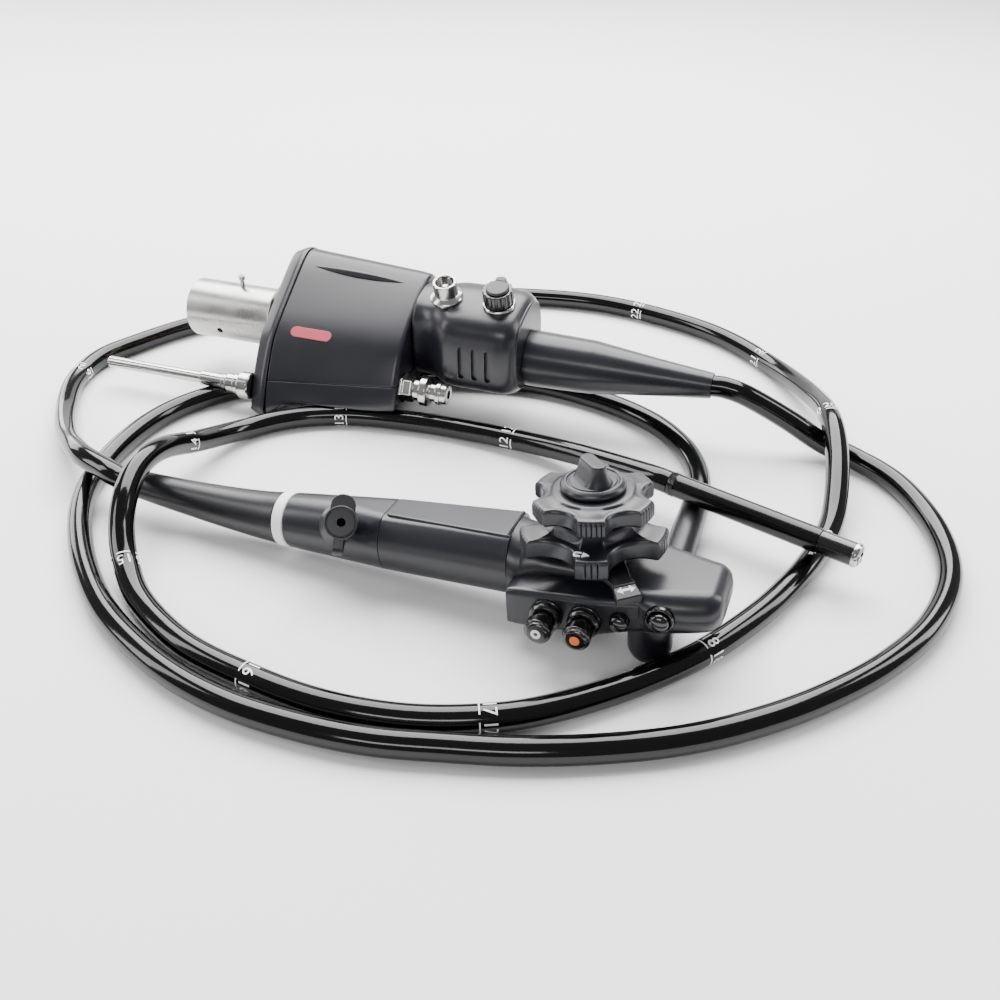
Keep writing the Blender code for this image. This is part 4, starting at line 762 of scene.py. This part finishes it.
def make_barrel():
    piece("flange_seal", turned(rod(21.4, GAP, 2.6, 0.4), direction=FORWARD, edge=0.2), CONNECTOR, GLOSS)
    piece("barrel_flange_skin", turned([(0, 5.3), (17.8, 5.3), (19, 4.1), (19, 2.9), (0, 2.9)],
                                       direction=FORWARD, edge=0.3), CONNECTOR, STEEL, node="barrel_flange")
    shell = turned(
        [(15.5, 59.6), (16.2, 59.6), (17, 58.8), (17, 5.6), (15.5, 5.6)], direction=FORWARD, steps=96,
        ring=True, edge=0.15)
    hole = turned(rod(1.9, 12, 20), (-38, 0, 0), (0, -0.94, -0.34), steps=32)
    piece("barrel_skin", without(shell, hole), CONNECTOR, STEEL, node="electrical_barrel")
    key_x = -5.6 - 54 * 0.42
    piece("key_pin_skin", turned([(0, 7), (1.6, 7), (2.0, 6.4), (2.0, 4.6), (1.3, 4), (1.3, GAP), (0, GAP)],
                                 (key_x, 0, 17), steps=40, edge=0.12), CONNECTOR, BRIGHT,
          node="barrel_key_pin")


def make_light_rod():
    at = (0, -47, -20.8)
    piece("light_flange_skin", turned(rod(7.8, GAP, 7.5, 0.7), at, FORWARD, edge=0.2), CONNECTOR, BRIGHT,
          node="light_guide_flange")
    profile = [(0, 96), (3.0, 96), (3.3, 95.7), (3.3, 33.7), (4.2, 32.8), (4.2, 19), (4.6, 18.6), (4.6, 16.4),
               (5.0, 16), (5.5, 15.4), (5.5, 11), (5.9, 10.6), (5.9, 7.8), (0, 7.8)]
    piece("light_rod_skin", turned(profile, at, FORWARD, steps=48, edge=0.15), CONNECTOR, BRIGHT,
          node="light_guide_rod")


def make_rear_grip():
    rings = []
    for share, near, size in REAR_SIZES:
        x = blend(REAR_START, REAR_END, share)
        section = [(x, y * (near if y < 0 else size), 4 + (z - 4) * size) for y, z in REAR_SECTION]
        rings.append(rounded_outline(section))
    grip = drawn_through(rounded_ends(curved(rings, 3), 1.5, 1.2))
    slots = []
    for number in range(3):
        x = blend(REAR_START, REAR_END, 0.52 + 0.12 * number)
        outline = rounded_box((-1.6, -10), (1.6, 9), 1.6, steps=4)
        slots.append(turned_by(slab(outline, -1.5, 3), stand((x, -26.9, 5), (0, -1, 0))))
    piece("rear_grip_skin", without(grip, *slots), CONNECTOR, SHELL, node="connector_rear_grip")


def make_ports():
    tilt = radians(16.5)
    up = Vector((0, -sin(tilt), cos(tilt)))
    vent = Vector((105, -8.5, 32.4)) + up * GAP
    capped = Vector((135, -8.5, 32.4)) + up * GAP
    cup = turned(
        [(0, 8.5), (1.3, 8.5), (1.3, 3), (4.9, 3), (4.9, 10.6), (5.3, 11), (6.1, 11), (6.5, 10.6), (6.5, 3.2),
         (8.2, 2.2), (9, 1.4), (9, 0), (0, 0)], vent, up, edge=0.15)
    piece("vent_port_skin", cup, CONNECTOR, BRIGHT, node="vent_port")
    piece("port_ring_skin", turned([(0, 2.2), (8.4, 2.2), (9, 1.6), (9, 0), (0, 0)], capped, up, edge=0.2),
          CONNECTOR, BRIGHT, node="capped_port_ring")
    outline = []
    for step in range(192):
        ridge = 0.5 + 0.5 * cos(tau * step * 16 / 192)
        length = 7.75 + 0.5 * min(1, ridge * 1.6)
        outline.append(round_axis(tau * step / 192, length))
    frame_up = facing(capped, up)
    tab = slab(filleted([(-3, 4.6, 0, 0.5), (3, 4.6, 0, 0.5), (3, 8.8, 0, 2.6), (-3, 8.8, 0, 2.6)]), 7.4,
               12.6, 0.8)
    piece("port_cap_skin", turned_by(slab(outline, 2.5, 10.8, 0.7), frame_up), CONNECTOR, GLOSS,
          body="port_cap_body", node="port_cap")
    top = joined(turned(rod(6.3, 10.4, 12.4, 0.7), edge=0.3), tab)
    piece("port_cap_top", turned_by(top, frame_up), CONNECTOR, CAP_GREY, body="port_cap_body")


def make_fitting():
    at = (HOUSING_BACK, -32, -13.5)
    ahead = (1, 0, 0)
    piece("fitting_base_skin",
          turned([(0, 8), (6.5, 8), (7.5, 7), (7.5, 2.4), (8.5, 2), (8.5, GAP), (0, GAP)], at, ahead, steps=6,
                 edge=0.4), CONNECTOR, BRIGHT, node="bottle_fitting_base")
    profile = [(0, 20), (2.4, 20), (2.4, 27.4), (5.2, 27.4), (5.8, 26.8), (5.8, 24), (6.5, 23.6), (6.5, 21.4),
               (5.2, 20.8), (5.2, 17.8), (7.6, 16.6), (8.4, 15.8), (8.4, 12.4), (7.8, 11.8), (6.2, 11.4),
               (6.2, 8.3), (0, 8.3)]
    piece("fitting_nozzle_skin", turned(profile, at, ahead, edge=0.2), CONNECTOR, BRIGHT,
          node="bottle_fitting_nozzle")


def make_connector_boot():
    rings = []
    turns = [tau * (corner + 0.5) / BOOT_SIDES for corner in range(BOOT_SIDES)]
    for share, radius in curved([Vector(row) for row in BOOT_ROWS], 3):
        x = REAR_END + GAP + BOOT_LENGTH * share
        corners = [(x, radius * cos(turn), radius * sin(turn), 0.6 * radius) for turn in turns]
        rings.append(filleted(corners, 4))
    piece("connector_boot_skin", drawn_through(rings), CONNECTOR, SHELL,
          node="connector_boot", crease=40)


# Control body

DISTAL_START = 6.1
GRIP_START = 56.4


def oval(x, radius, flat_top, count=36):
    return [Vector((x, radius * cos(tau * (step + 0.5) / count),
                    min(radius * sin(tau * (step + 0.5) / count), flat_top))) for step in range(count)]


def make_insertion_boot():
    points = [Vector((0, 0, 0))]
    radii = [12.4]
    for step in range(25):
        share = blend(0.04, 1.0, step / 24)
        points.append(Vector((INSERTION_BOOT_END * share, 0, BOOT_RISE * (share - 0.04) ** 1.5)))
        radii.append(blend(12.4, BOOT_TIP, share ** 0.85))
    piece("insertion_boot_skin", softened(drawn_through(rings_along(points, radii, 64)), 0.4, 2, 50), BODY,
          RUBBER, node="insertion_boot")
    piece("colour_ring_skin", turned(rod(12.9, GAP, 5.8, 0.4), direction=(1, 0, 0), steps=96, edge=0.2), BODY,
          WHITE, node="colour_ring")


def make_grips():
    distal = []
    for step in range(9):
        share = step / 8
        radius = blend(12.9, 16.2, share)
        distal.append(
            rounded_outline(oval(DISTAL_START + 50.15 * share, radius, blend(radius, 14, share)), 2))
    piece("distal_grip_skin", drawn_through(rounded_ends(distal, 0.6, 0.3)), BODY, SHELL, node="grip_distal")
    grip = []
    for share in (0, 0.5, 1):
        grip.append(rounded_outline(oval(GRIP_START + 60.3 * share, blend(16.2, 18, share), 14), 2))
    piece("main_grip_skin", drawn_through(rounded_ends(grip, 0.3, 0.15)), BODY, SHELL, node="grip")
    outline = filleted([(57.2, -7.6, 0, 3), (116.6, -11, 0, 0.5), (116.6, 11, 0, 0.5), (57.2, 7.6, 0, 3)])
    piece("top_panel_skin", slab(outline, 12.4, 14.9, 1.2, 6), BODY, SHELL,
          node="grip_top_panel")


LID_STRAP_ANGLE = 255.0
STRAP_KNOTS = ((10.9, 30.0), (12.8, 29.2), (13.6, 26.8), (12.6, 23.8), (9.9, 21.2), (7.0, 19.6))


def make_channel_port():
    axis = Vector((0.42, -0.72, 0.55)).normalized()
    foot = Vector((31, 0, 0))
    neck = [(2.4, 23.3), (6.0, 23.3), (6.4, 22.9), (6.4, 21.2), (5.8, 20.8), (5.8, 20.2), (6.5, 19.8),
            (6.9, 18.4), (7.8, 16.5), (9.0, 14.4), (10.4, 12.6), (2.4, 12.6)]
    piece("channel_neck_skin", turned(neck, foot, axis, ring=True, edge=0.1), BODY, SHELL,
          node="channel_port")
    valve = [(1.9, 28.6), (6.6, 28.6), (7, 28.2), (7, 27.4), (6.2, 26.8), (6.2, 24.6), (7, 24.2), (7, 23.6),
             (1.9, 23.6)]
    piece("biopsy_valve_skin", turned(valve, foot, axis, ring=True, edge=0.15), BODY, RUBBER,
          node="biopsy_valve")
    lid = turned(
        [(0, 31.5), (5.9, 31.5), (6.0, 31.1), (6.5, 31.1), (6.6, 31.5), (7.0, 31.5), (7.5, 31.0), (7.5, 29.4),
         (7.0, 28.9), (0, 28.9)], edge=0.1)
    ear = slab(filleted([(0, -5.6, 0, 1), (12.4, -5.2, 0, 4.8), (12.4, 5.2, 0, 4.8), (0, 5.6, 0, 1)]), 29.1,
               31.2, 0.6)
    tail = slab(rounded_box((0, -2.4), (11.4, 2.4), 1), 29.1, 31.0, 0.5)
    ear_turn = about_z(LID_STRAP_ANGLE - 180)
    tail_turn = about_z(LID_STRAP_ANGLE)
    lid = joined(lid, turned_by(ear, ear_turn), turned_by(tail, tail_turn))
    lid = without(lid, turned(rod(1.9, 28, 33)))
    upright = facing(foot, axis)
    piece("biopsy_lid_skin", turned_by(lid, upright), BODY, RUBBER, body="biopsy_lid_body", node="biopsy_lid")
    route = curved([Vector((x, 0, z)) for x, z in STRAP_KNOTS], 6)
    rings = []
    for place, point in enumerate(route):
        way = (route[min(place + 1, len(route) - 1)] - route[max(place - 1, 0)]).normalized()
        face = way.cross(Vector((0, 1, 0))) * 0.6
        side = Vector((0, 2.3, 0))
        rings.append([point + face + side, point + face - side, point - face - side, point - face + side])
    strap = turned_by(softened(drawn_through(rings), 0.3, 2, 60), upright @ tail_turn)
    strap = piece("biopsy_lid_strap", strap, BODY, RUBBER, body=None)
    turn = BODY @ upright @ tail_turn
    turn @ Vector((8, 0, 20.2))
    turn @ Vector((12.8, 0, 29.2))
    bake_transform(strap)


HEAD_TABLE = (
    (116.75, -18.0, 18.0, -18.0, 14.8, 17.5), (119.5, -18.0, 18.1, -18.2, 13.5, 16.0),
    (123.0, -17.2, 18.3, -19.0, 12.5, 12.0), (128.0, -15.6, 18.6, -19.8, 10.4, 8.0),
    (135.0, -14.0, 18.8, -20.0, 7.3, 5.0), (150.0, -13.6, 19.0, -19.6, 6.2, 5.0),
    (160.0, -14.6, 19.0, -16.6, 6.2, 5.0), (169.0, -21.5, 18.6, -14.0, 6.1, 5.0),
    (176.0, -26.4, 18.0, -14.0, 6.0, 5.5), (184.0, -26.8, 17.0, -14.2, 5.8, 6.5),
    (192.0, -25.6, 15.4, -14.2, 5.5, 7.5), (199.0, -23.6, 13.6, -13.8, 5.1, 7.5),
    (207.4, -20.6, 11.6, -12.8, 4.5, 7.0))
HEAD_END_ROUND = 6.4
BLOCK_TABLE = (
    (119.5, -27.0, -12.0, -18.2, -1.0, 2.5), (124.0, -27.5, -12.0, -18.2, 0.0, 3.0),
    (157.0, -27.5, -12.0, -17.4, 1.5, 3.0), (166.0, -27.2, -12.0, -14.5, 2.4, 3.0),
    (178.0, -25.8, -12.0, -12.4, 3.2, 3.0))


def rounded_ring(x, near, far, bottom, top, corner, steps=6):
    points = []
    for y, z, start in ((far, top, 0), (near, top, 90), (near, bottom, 180), (far, bottom, 270)):
        centre_y = y - copysign(corner, y - (near + far) / 2)
        centre_z = z - copysign(corner, z - (bottom + top) / 2)
        for step in range(steps + 1):
            angle = radians(start + 90 * step / steps)
            points.append(Vector((x, centre_y + corner * cos(angle), centre_z + corner * sin(angle))))
    return points


def make_head_cover():
    cover = turned(
        [(5.7, 8.3), (14.2, 8.3), (15, 7.5), (15, 6.0), (5.7, 6.0)], (151, -1, 0), ring=True, edge=0.2)
    piece("head_cover_skin", cover, BODY, SHELL, node="head_cover")


def front(table, x):
    """The near face's place at a station along the body."""
    for first, last in zip(table, table[1:]):
        if first[0] <= x <= last[0]:
            return blend(first[1], last[1], (x - first[0]) / (last[0] - first[0]))


def make_valves_and_buttons():
    rings = [rounded_ring(*station) for station in BLOCK_TABLE]
    casing = drawn_through(rounded_ends(rings, 0.8, 0.8))
    out = Vector((0, -1, 0))
    wells = []
    for name, x, mark in (("air_water_valve", 137.5, WHITE), ("suction_valve", 153.6, ORANGE)):
        face = Vector((x, front(BLOCK_TABLE, x), -9.5))
        wells += [turned(rod(4.6, -7.5, 9), face, out, 48), turned(rod(7.1, -1, 9), face, out, 48)]
        collar = [(4.6, 4.2), (5.8, 4.2), (6.8, 3.2), (6.8, 0.9), (6.1, 0.5), (6.8, 0.1), (6.8, -0.7),
                  (4.6, -0.7)]
        piece(f"{name}_collar_skin", turned(collar, face, out, ring=True, edge=0.2), BODY, GLOSS,
              node=f"{name}_collar")
        cap = [(0, 14.1), (3.9, 14.1), (4.8, 13.5), (4.8, 12.9), (5.3, 12.9), (5.8, 12.3), (5.8, 8.4),
               (5.2, 7.9), (4.3, 7.9), (4.3, -3.7), (0, -3.7)]
        piece(f"{name}_skin", turned(cap, face, out, edge=0.3), BODY, GLOSS, body=f"{name}_body", node=name)
        inner = 0.9 if mark == WHITE else 0.0
        disc = [(inner, 14.3), (2.1, 14.3), (2.1, 13.8), (inner, 13.8)]
        piece(f"{name}_mark", turned(disc, face, out, steps=40, ring=inner > 0, edge=0.05), BODY, mark,
              body=f"{name}_body")
    face = Vector((168, front(BLOCK_TABLE, 168), -7))
    wells.append(turned(rod(4, -3.2, 9), face, out, 48))
    piece("image_button_skin", turned(dome(3.7, -1.7, 4.8, 2.2), face, out), BODY, GLOSS,
          body="image_button_body", node="image_button")
    rise = front(HEAD_TABLE, 187) - front(HEAD_TABLE, 181)
    out = Vector((rise, -6, 0)).normalized()
    face = Vector((184, front(HEAD_TABLE, 184), -3.6))
    head_wells = [turned(rod(6.1, -1.2, 9), face, out, 48), turned(rod(4.8, -3.6, 9), face, out, 40)]
    piece("bezel_skin", turned([(4.8, 1.4), (5.3, 1.4), (5.8, 0.8), (5.8, -0.9), (4.8, -0.9)], face, out,
                               ring=True, edge=0.15), BODY, GLOSS, node="button_bezel")
    piece("capture_button_skin", turned(dome(4.1, -1.7, 4.8, 2.4), face, out), BODY, GLOSS,
          body="capture_button_body", node="capture_button")
    piece("valve_block_skin", without(casing, *wells), BODY, SHELL, node="valve_block")
    rings = []
    for x, near, far, bottom, top, corner in curved([Vector(row) for row in HEAD_TABLE], 9):
        ring = filleted(
            [(x, far, bottom, corner * 1.3), (x, far, top, corner * 1.2), (x, near, top, corner * 1.2),
             (x, near, bottom, corner * 1.3)])
        past = x - HEAD_TABLE[-1][0] + HEAD_END_ROUND
        if past > 0.4:
            ring = shrunk(ring, 0.9 * (HEAD_END_ROUND - sqrt(HEAD_END_ROUND ** 2 - past ** 2)))
        rings.append(ring)
    piece("head_skin", without(drawn_through(rings), *head_wells), BODY, SHELL, node="head_housing")


LOBE_TURN = -76.0
FLUTE_DEPTH = 0.6
KNOB_AT = (151, -3, 0)
WEDGE_LEVELS = ((40.9, 10.2, 7.6), (43.0, 9.6, 5.6), (45.4, 8.8, 4.2), (48.2, 8.0, 3.3), (50.6, 7.5, 3.0))


def lobed(radius, lobes, waist, bite, fine=96):
    """A hand wheel's reach all round: a circle with a round bite between each two lobes, and four
    narrow flutes across each lobe's end. The bite is the half angle that it takes of the rim."""
    centre = (waist ** 2 - radius ** 2) / (2 * waist - 2 * radius * cos(radians(bite)))
    size = centre - waist
    half = 180 / lobes - bite
    reaches = []
    for step in range(lobes * fine):
        off = abs((step / fine) % 1.0 - 0.5) * 360 / lobes
        aside = centre * sin(radians(off))
        reach = radius
        if abs(aside) < size:
            cut = centre * cos(radians(off)) - sqrt(size ** 2 - aside ** 2)
            near = max(0.0, 1.6 - abs(radius - cut)) / 1.6
            reach = min(radius, cut) - near * near * 0.4
        across = (180 / lobes - off) / half
        flute = max(0.0, cos(tau * across / 0.36)) ** 4 if across < 0.72 else 0.0
        angle = radians(LOBE_TURN) + tau * step / (lobes * fine)
        reaches.append((angle, reach, FLUTE_DEPTH * flute))
    return reaches


def hand_wheel(reaches, levels):
    """A wheel drawn through levels of (height, inset from the rim, roundness, hub radius)."""
    rings = []
    for height, inset, roundness, hub in levels:
        ring = []
        for angle, reach, flute in reaches:
            depth = flute * max(0.0, 1 - inset)
            length = blend(max(reach - inset - depth, min(reach, hub)), hub, roundness)
            ring.append(round_axis(angle, length, height))
        rings.append(ring)
    return drawn_through(rings, bored=True)


def wheel_levels(bottom, edge, top, hub, hub_top, bore, well):
    """The levels of a wheel: its bored underside, its rounded rim and a top that swells to the hub."""
    under = [(well, 0, 1, 5.7 if bore > 4 else 4.2), (bottom, 0, 1, 5.7 if bore > 4 else 4.2),
             (bottom, 2, 0.5, 12), (bottom, 1.3, 0, 12), (bottom + 0.4, 0.5, 0, 12), (bottom + 1.3, 0, 0, 12),
             (edge, 0, 0, hub)]
    over = [(edge + 0.5 * (top - edge), 0.3, 0, hub), (edge + 0.82 * (top - edge), 0.95, 0, hub),
            (top, 2.0, 0, hub), (top + 0.03 * (hub_top - top), 2.5, 0.3, hub),
            (top + 0.1 * (hub_top - top), 2.5, 0.55, hub), (top + 0.28 * (hub_top - top), 2.5, 0.78, hub),
            (top + 0.6 * (hub_top - top), 2.5, 0.95, hub), (top + 0.88 * (hub_top - top), 2.5, 1, hub - 0.6),
            (hub_top - 0.1, 2.5, 1, hub - 1.5)]
    over = [tuple(row) for row in curved([Vector(row) for row in over], 3)]
    return [*under, *over, (hub_top, 2.5, 1, hub - 2.2), (hub_top, 2.5, 1, bore), (well, 0, 1, bore)]


def make_controls():
    axis = BODY @ Matrix.Translation(KNOB_AT)
    ud = hand_wheel(lobed(30.6, 5, 20.8, 23.5), wheel_levels(13.5, 19.8, 22.0, 17.4, 27.5, 4.2, 18.8))
    piece("ud_wheel_skin", ud, axis, SHELL, body="ud_wheel", node="ud_knob", crease=45)
    rl = hand_wheel(lobed(25.6, 6, 20.4, 17.5), wheel_levels(29.5, 34.9, 37.0, 16.6, 38.5, 2.7, 34.8))
    piece("rl_wheel_skin", rl, axis, SHELL, body="rl_wheel", node="rl_knob", crease=45)
    aside = Vector((1.7, 0))
    turn = [round_axis(radians(90 + 15 * step), 1.5) - aside for step in range(13)]
    back = [round_axis(radians(270 - 15 * step), 0.85) - aside for step in range(13)]
    hook = [Vector((-0.1, 1.5)), *turn, Vector((-0.1, -1.5)), Vector((-0.1, -0.85)), *back,
            Vector((-0.1, 0.85))]
    arrow = joined(slab(hook, 22.0, 22.55), slab([(0.5, -1.6), (3.3, 0), (0.5, 1.6)], 22.0, 22.55))
    piece("ud_wheel_arrow", turned_by(arrow, Matrix.Translation((2.0, -25.2, 0))), axis, INK, body="ud_wheel")
    lock = turned(
        [(0, 42.2), (9.4, 42.2), (9.8, 41.6), (10.4, 41.6), (10.8, 42.4), (11.6, 42.4), (12.8, 41.6),
         (13.4, 40.6), (13.4, 39.6), (12.9, 39.3), (12.9, 38.8), (0, 38.8)], steps=96, edge=0.2)
    levels = []
    for height, long, wide in WEDGE_LEVELS:
        levels.append(rounded_box((-long, -wide), (long, wide), wide, height, 6))
    wedge = turned_by(drawn_through(rounded_ends(curved(levels, 4), 0, 0.7)), about_z(134))
    piece("lock_knob_skin", joined(lock, wedge), axis, SHELL, body="rl_lock", node="rl_lock_knob")
    low, top = 8.6, 11.0
    outline = [round_axis(radians(60 + 5 * step), 10.5) for step in range(49)]
    outline += [(27, -4.6), (31, -4.6), (31, 4.6), (27, 4.6)]
    lever = slab(outline, low, top, 0.4)
    root = [(29, -4.6, low), (29, 4.6, low), (29, 4.6, top), (29, -4.6, top)]
    lip = [(36, -5.4, low - 4), (36, 5.4, low - 4), (36, 5.4, top - 3), (36, -5.4, top - 3)]
    tab = drawn_through([[Vector(point) for point in ring] for ring in (root, lip)])
    lever = without(joined(lever, softened(tab, 0.5)), turned(rod(5.7, 6, 14)))
    lean = about_z(-52)
    piece("lock_lever_skin", turned_by(lever, lean), axis, RUBBER, body="ud_lock",
          node="ud_lock_lever")
    arrow = slab(
        [(0, -4), (1.6, -1.6), (0.5, -1.6), (0.5, 1.6), (1.6, 1.6), (0, 4), (-1.6, 1.6), (-0.5, 1.6),
         (-0.5, -1.6), (-1.6, -1.6)], -0.3, 0.12)
    on_tab = Matrix.Translation((32.6, 0, 9.55)) @ Matrix.Rotation(atan2(3, 7), 4, "Y")
    piece("lock_lever_arrow", turned_by(arrow, lean @ on_tab), axis, INK, body="ud_lock")


def make_elbow():
    at = BODY.inverted() @ ELBOW @ Vector()
    base = turned(
        [(0, -8.4), (4, -8.4), (7.4, -6.6), (9.1, -3.2), (9.3, 0), (9.3, -12.9 - at.z), (0, -12.9 - at.z)],
        at, steps=96, edge=1.0)
    arm = turned_by(turned(rod(8.58, 0, ELBOW_ARM), direction=(1, 0, 0)), BODY.inverted() @ ELBOW)
    piece("elbow_skin", joined(base, arm), BODY, SHELL, node="umbilical_elbow")
    drop = 8.6 - BOOT_TIP - 0.1
    points = [Vector((ELBOW_ARM + GAP + UMBILICAL_BOOT * step / 16, 0, -drop * step / 16))
              for step in range(17)]
    radii = [blend(8.3, BOOT_TIP, step / 16) for step in range(17)]
    piece("umbilical_boot_skin", softened(drawn_through(rings_along(points, radii, 64)), 0.4, 2, 50), ELBOW,
          RUBBER, node="umbilical_boot")


# Bending section

# Sleeves whose two end bodies are listed far body first
BLENDED_BACKWARDS = (5,)
PIVOTS = 10
FIRST_PIVOT = 9.0
PIVOT_STEP = 7.0
COVER_RADIUS = 5.85
RIDGE_RADIUS = 6.05
RIDGE_PITCH = 0.4
RIDGES = 8
SLEEVE_REACHES = (5.5, 1.5)
LAST_REACH = 4.4


def make_bending_section():
    bodies = ["root"] + [f"link_{number}" for number in range(1, PIVOTS)] + ["tip"]
    for number in range(PIVOTS):
        pivot = FIRST_PIVOT + PIVOT_STEP * number
        reach = SLEEVE_REACHES[number % 2]
        start = GAP if number == 0 else pivot - reach
        end = pivot + (LAST_REACH if number == PIVOTS - 1 else reach)
        ridges = RIDGES if number == 0 else 0
        smooth = start + RIDGE_PITCH * ridges
        places = [start + RIDGE_PITCH * step for step in range(ridges)]
        places += [blend(smooth, end, step / 12) for step in range(13)]
        radii = [COVER_RADIUS, RIDGE_RADIUS] * (ridges // 2) + [COVER_RADIUS] * 13
        bm = drawn_through(rings_along([Vector((place, 0, 0)) for place in places], radii, 48))
        sleeve = finished(f"bending_sleeve_{number + 1}", bm, BENDING, SLEEVE, 40)
        ends = [(bodies[number], BENDING @ Vector((pivot - reach + 0.2, 0, 0))),
                (bodies[number + 1], BENDING @ Vector((pivot + reach - 0.2, 0, 0)))]
        if number in BLENDED_BACKWARDS:
            ends.reverse()
        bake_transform(sleeve)
    last_pivot = FIRST_PIVOT + PIVOT_STEP * (PIVOTS - 1)
    tip_frame = BENDING @ Matrix.Translation((last_pivot, 0, 0)) @ Matrix.Rotation(radians(90), 4, "X")
    head = turned([(0, 23), (4.2, 23), (5.5, 21.9), (5.5, 4.6), (0, 4.6)], direction=(1, 0, 0), edge=0.3)
    openings = ((0, -2.3, 1.6), (2.7, 1.4, 0.7), (-2.7, 1.4, 0.5))
    holes = [turned(rod(radius, 19, 25), (0, y, z), (1, 0, 0), 40) for y, z, radius in openings]
    piece("tip_skin", without(head, *holes), tip_frame, GLOSS, body="tip", node="distal_tip")
    ring = turned(
        [(4.3, 23.2), (5.0, 23.0), (5.7, 22.0), (5.7, 20.6), (4.3, 20.6)], direction=(1, 0, 0), ring=True,
        edge=0.15)
    piece("tip_ring", ring, tip_frame, BRIGHT, body="tip")
    windows = (("objective_lens", 0, 2.3, 1.5, LENS), ("light_lens_left", 3, -1.2, 1, LAMP),
               ("light_lens_right", -3, -1.2, 1, LAMP))
    for name, y, z, radius, look in windows:
        piece(f"{name}_skin", turned(rod(radius, 23.3, 23.8, 0.2), (0, y, z), (1, 0, 0), 40), tip_frame, look,
              body="tip", node=name)


make_depth_marks()
make_end_plate()
make_housing()
make_bare_plate()
make_barrel()
make_light_rod()
make_rear_grip()
make_ports()
make_fitting()
make_connector_boot()
make_insertion_boot()
make_grips()
make_channel_port()
make_head_cover()
make_valves_and_buttons()
make_controls()
make_elbow()
make_bending_section()


# Carried-over nodes

def repaint(material, *names):
    for name in names:
        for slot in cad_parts[name].material_slots:
            slot.material = material


repaint(GLOSS, "contact_block")
repaint(GOLD, "contact_pins")
repaint(STEEL, "control_post", "rl_shaft_and_drum", "ud_shaft_and_drum", "bending_base_collar",
        *[f"bending_link_{number}" for number in range(1, PIVOTS)])


# Floor and light

def make_floor():
    bm = bmesh.new()
    bmesh.ops.create_grid(bm, x_segments=1, y_segments=1, size=4.0)
    floor = as_object("floor", bm)
    finish = Finish("pale_floor")
    finish.set("Base Color", finish.mixed(finish.noise(3, 2), grey(0.9), grey(0.88)))
    finish.set("Roughness", finish.between(finish.noise(20, 2), 0.3, 0.7, 0.75, 0.85))
    floor.data.materials.append(finish.material)


def make_light(name, at, target, size, power):
    data = bpy.data.lights.new(name, "AREA")
    data.shape = "RECTANGLE"
    data.size, data.size_y = size
    data.energy = power
    lamp = bpy.data.objects.new(name, data)
    lamp.location = at
    lamp.rotation_euler = (Vector(target) - Vector(at)).to_track_quat("-Z", "Y").to_euler()
    bpy.context.scene.collection.objects.link(lamp)


make_floor()
make_light("top_softbox", (0, 0.72, 1.12), (0, 0.02, 0), (1.7, 1.25), 88)
make_light("back_softbox", (0, 1.6, 0.36), (0, 0, 0.1), (3.0, 0.5), 9)
make_light("left_softbox", (-1.1, -0.1, 0.6), (-0.1, 0.05, 0.05), (0.3, 0.8), 6)
make_light("plate_softbox", (-1.25, 1.15, 0.44), (-0.15, 0.15, 0.05), (0.9, 0.6), 12)
make_light("right_softbox", (1.1, 0.1, 0.6), (0.05, 0, 0.05), (0.3, 0.8), 7)
make_light("front_softbox", (-0.3, -1.3, 0.9), (0, 0, 0.02), (0.9, 0.25), 7)
world = bpy.data.worlds.new("studio")
world.use_nodes = True
world.node_tree.nodes["Background"].inputs["Color"].default_value = (1, 1, 1, 1)
world.node_tree.nodes["Background"].inputs["Strength"].default_value = 0.3
bpy.context.scene.world = world
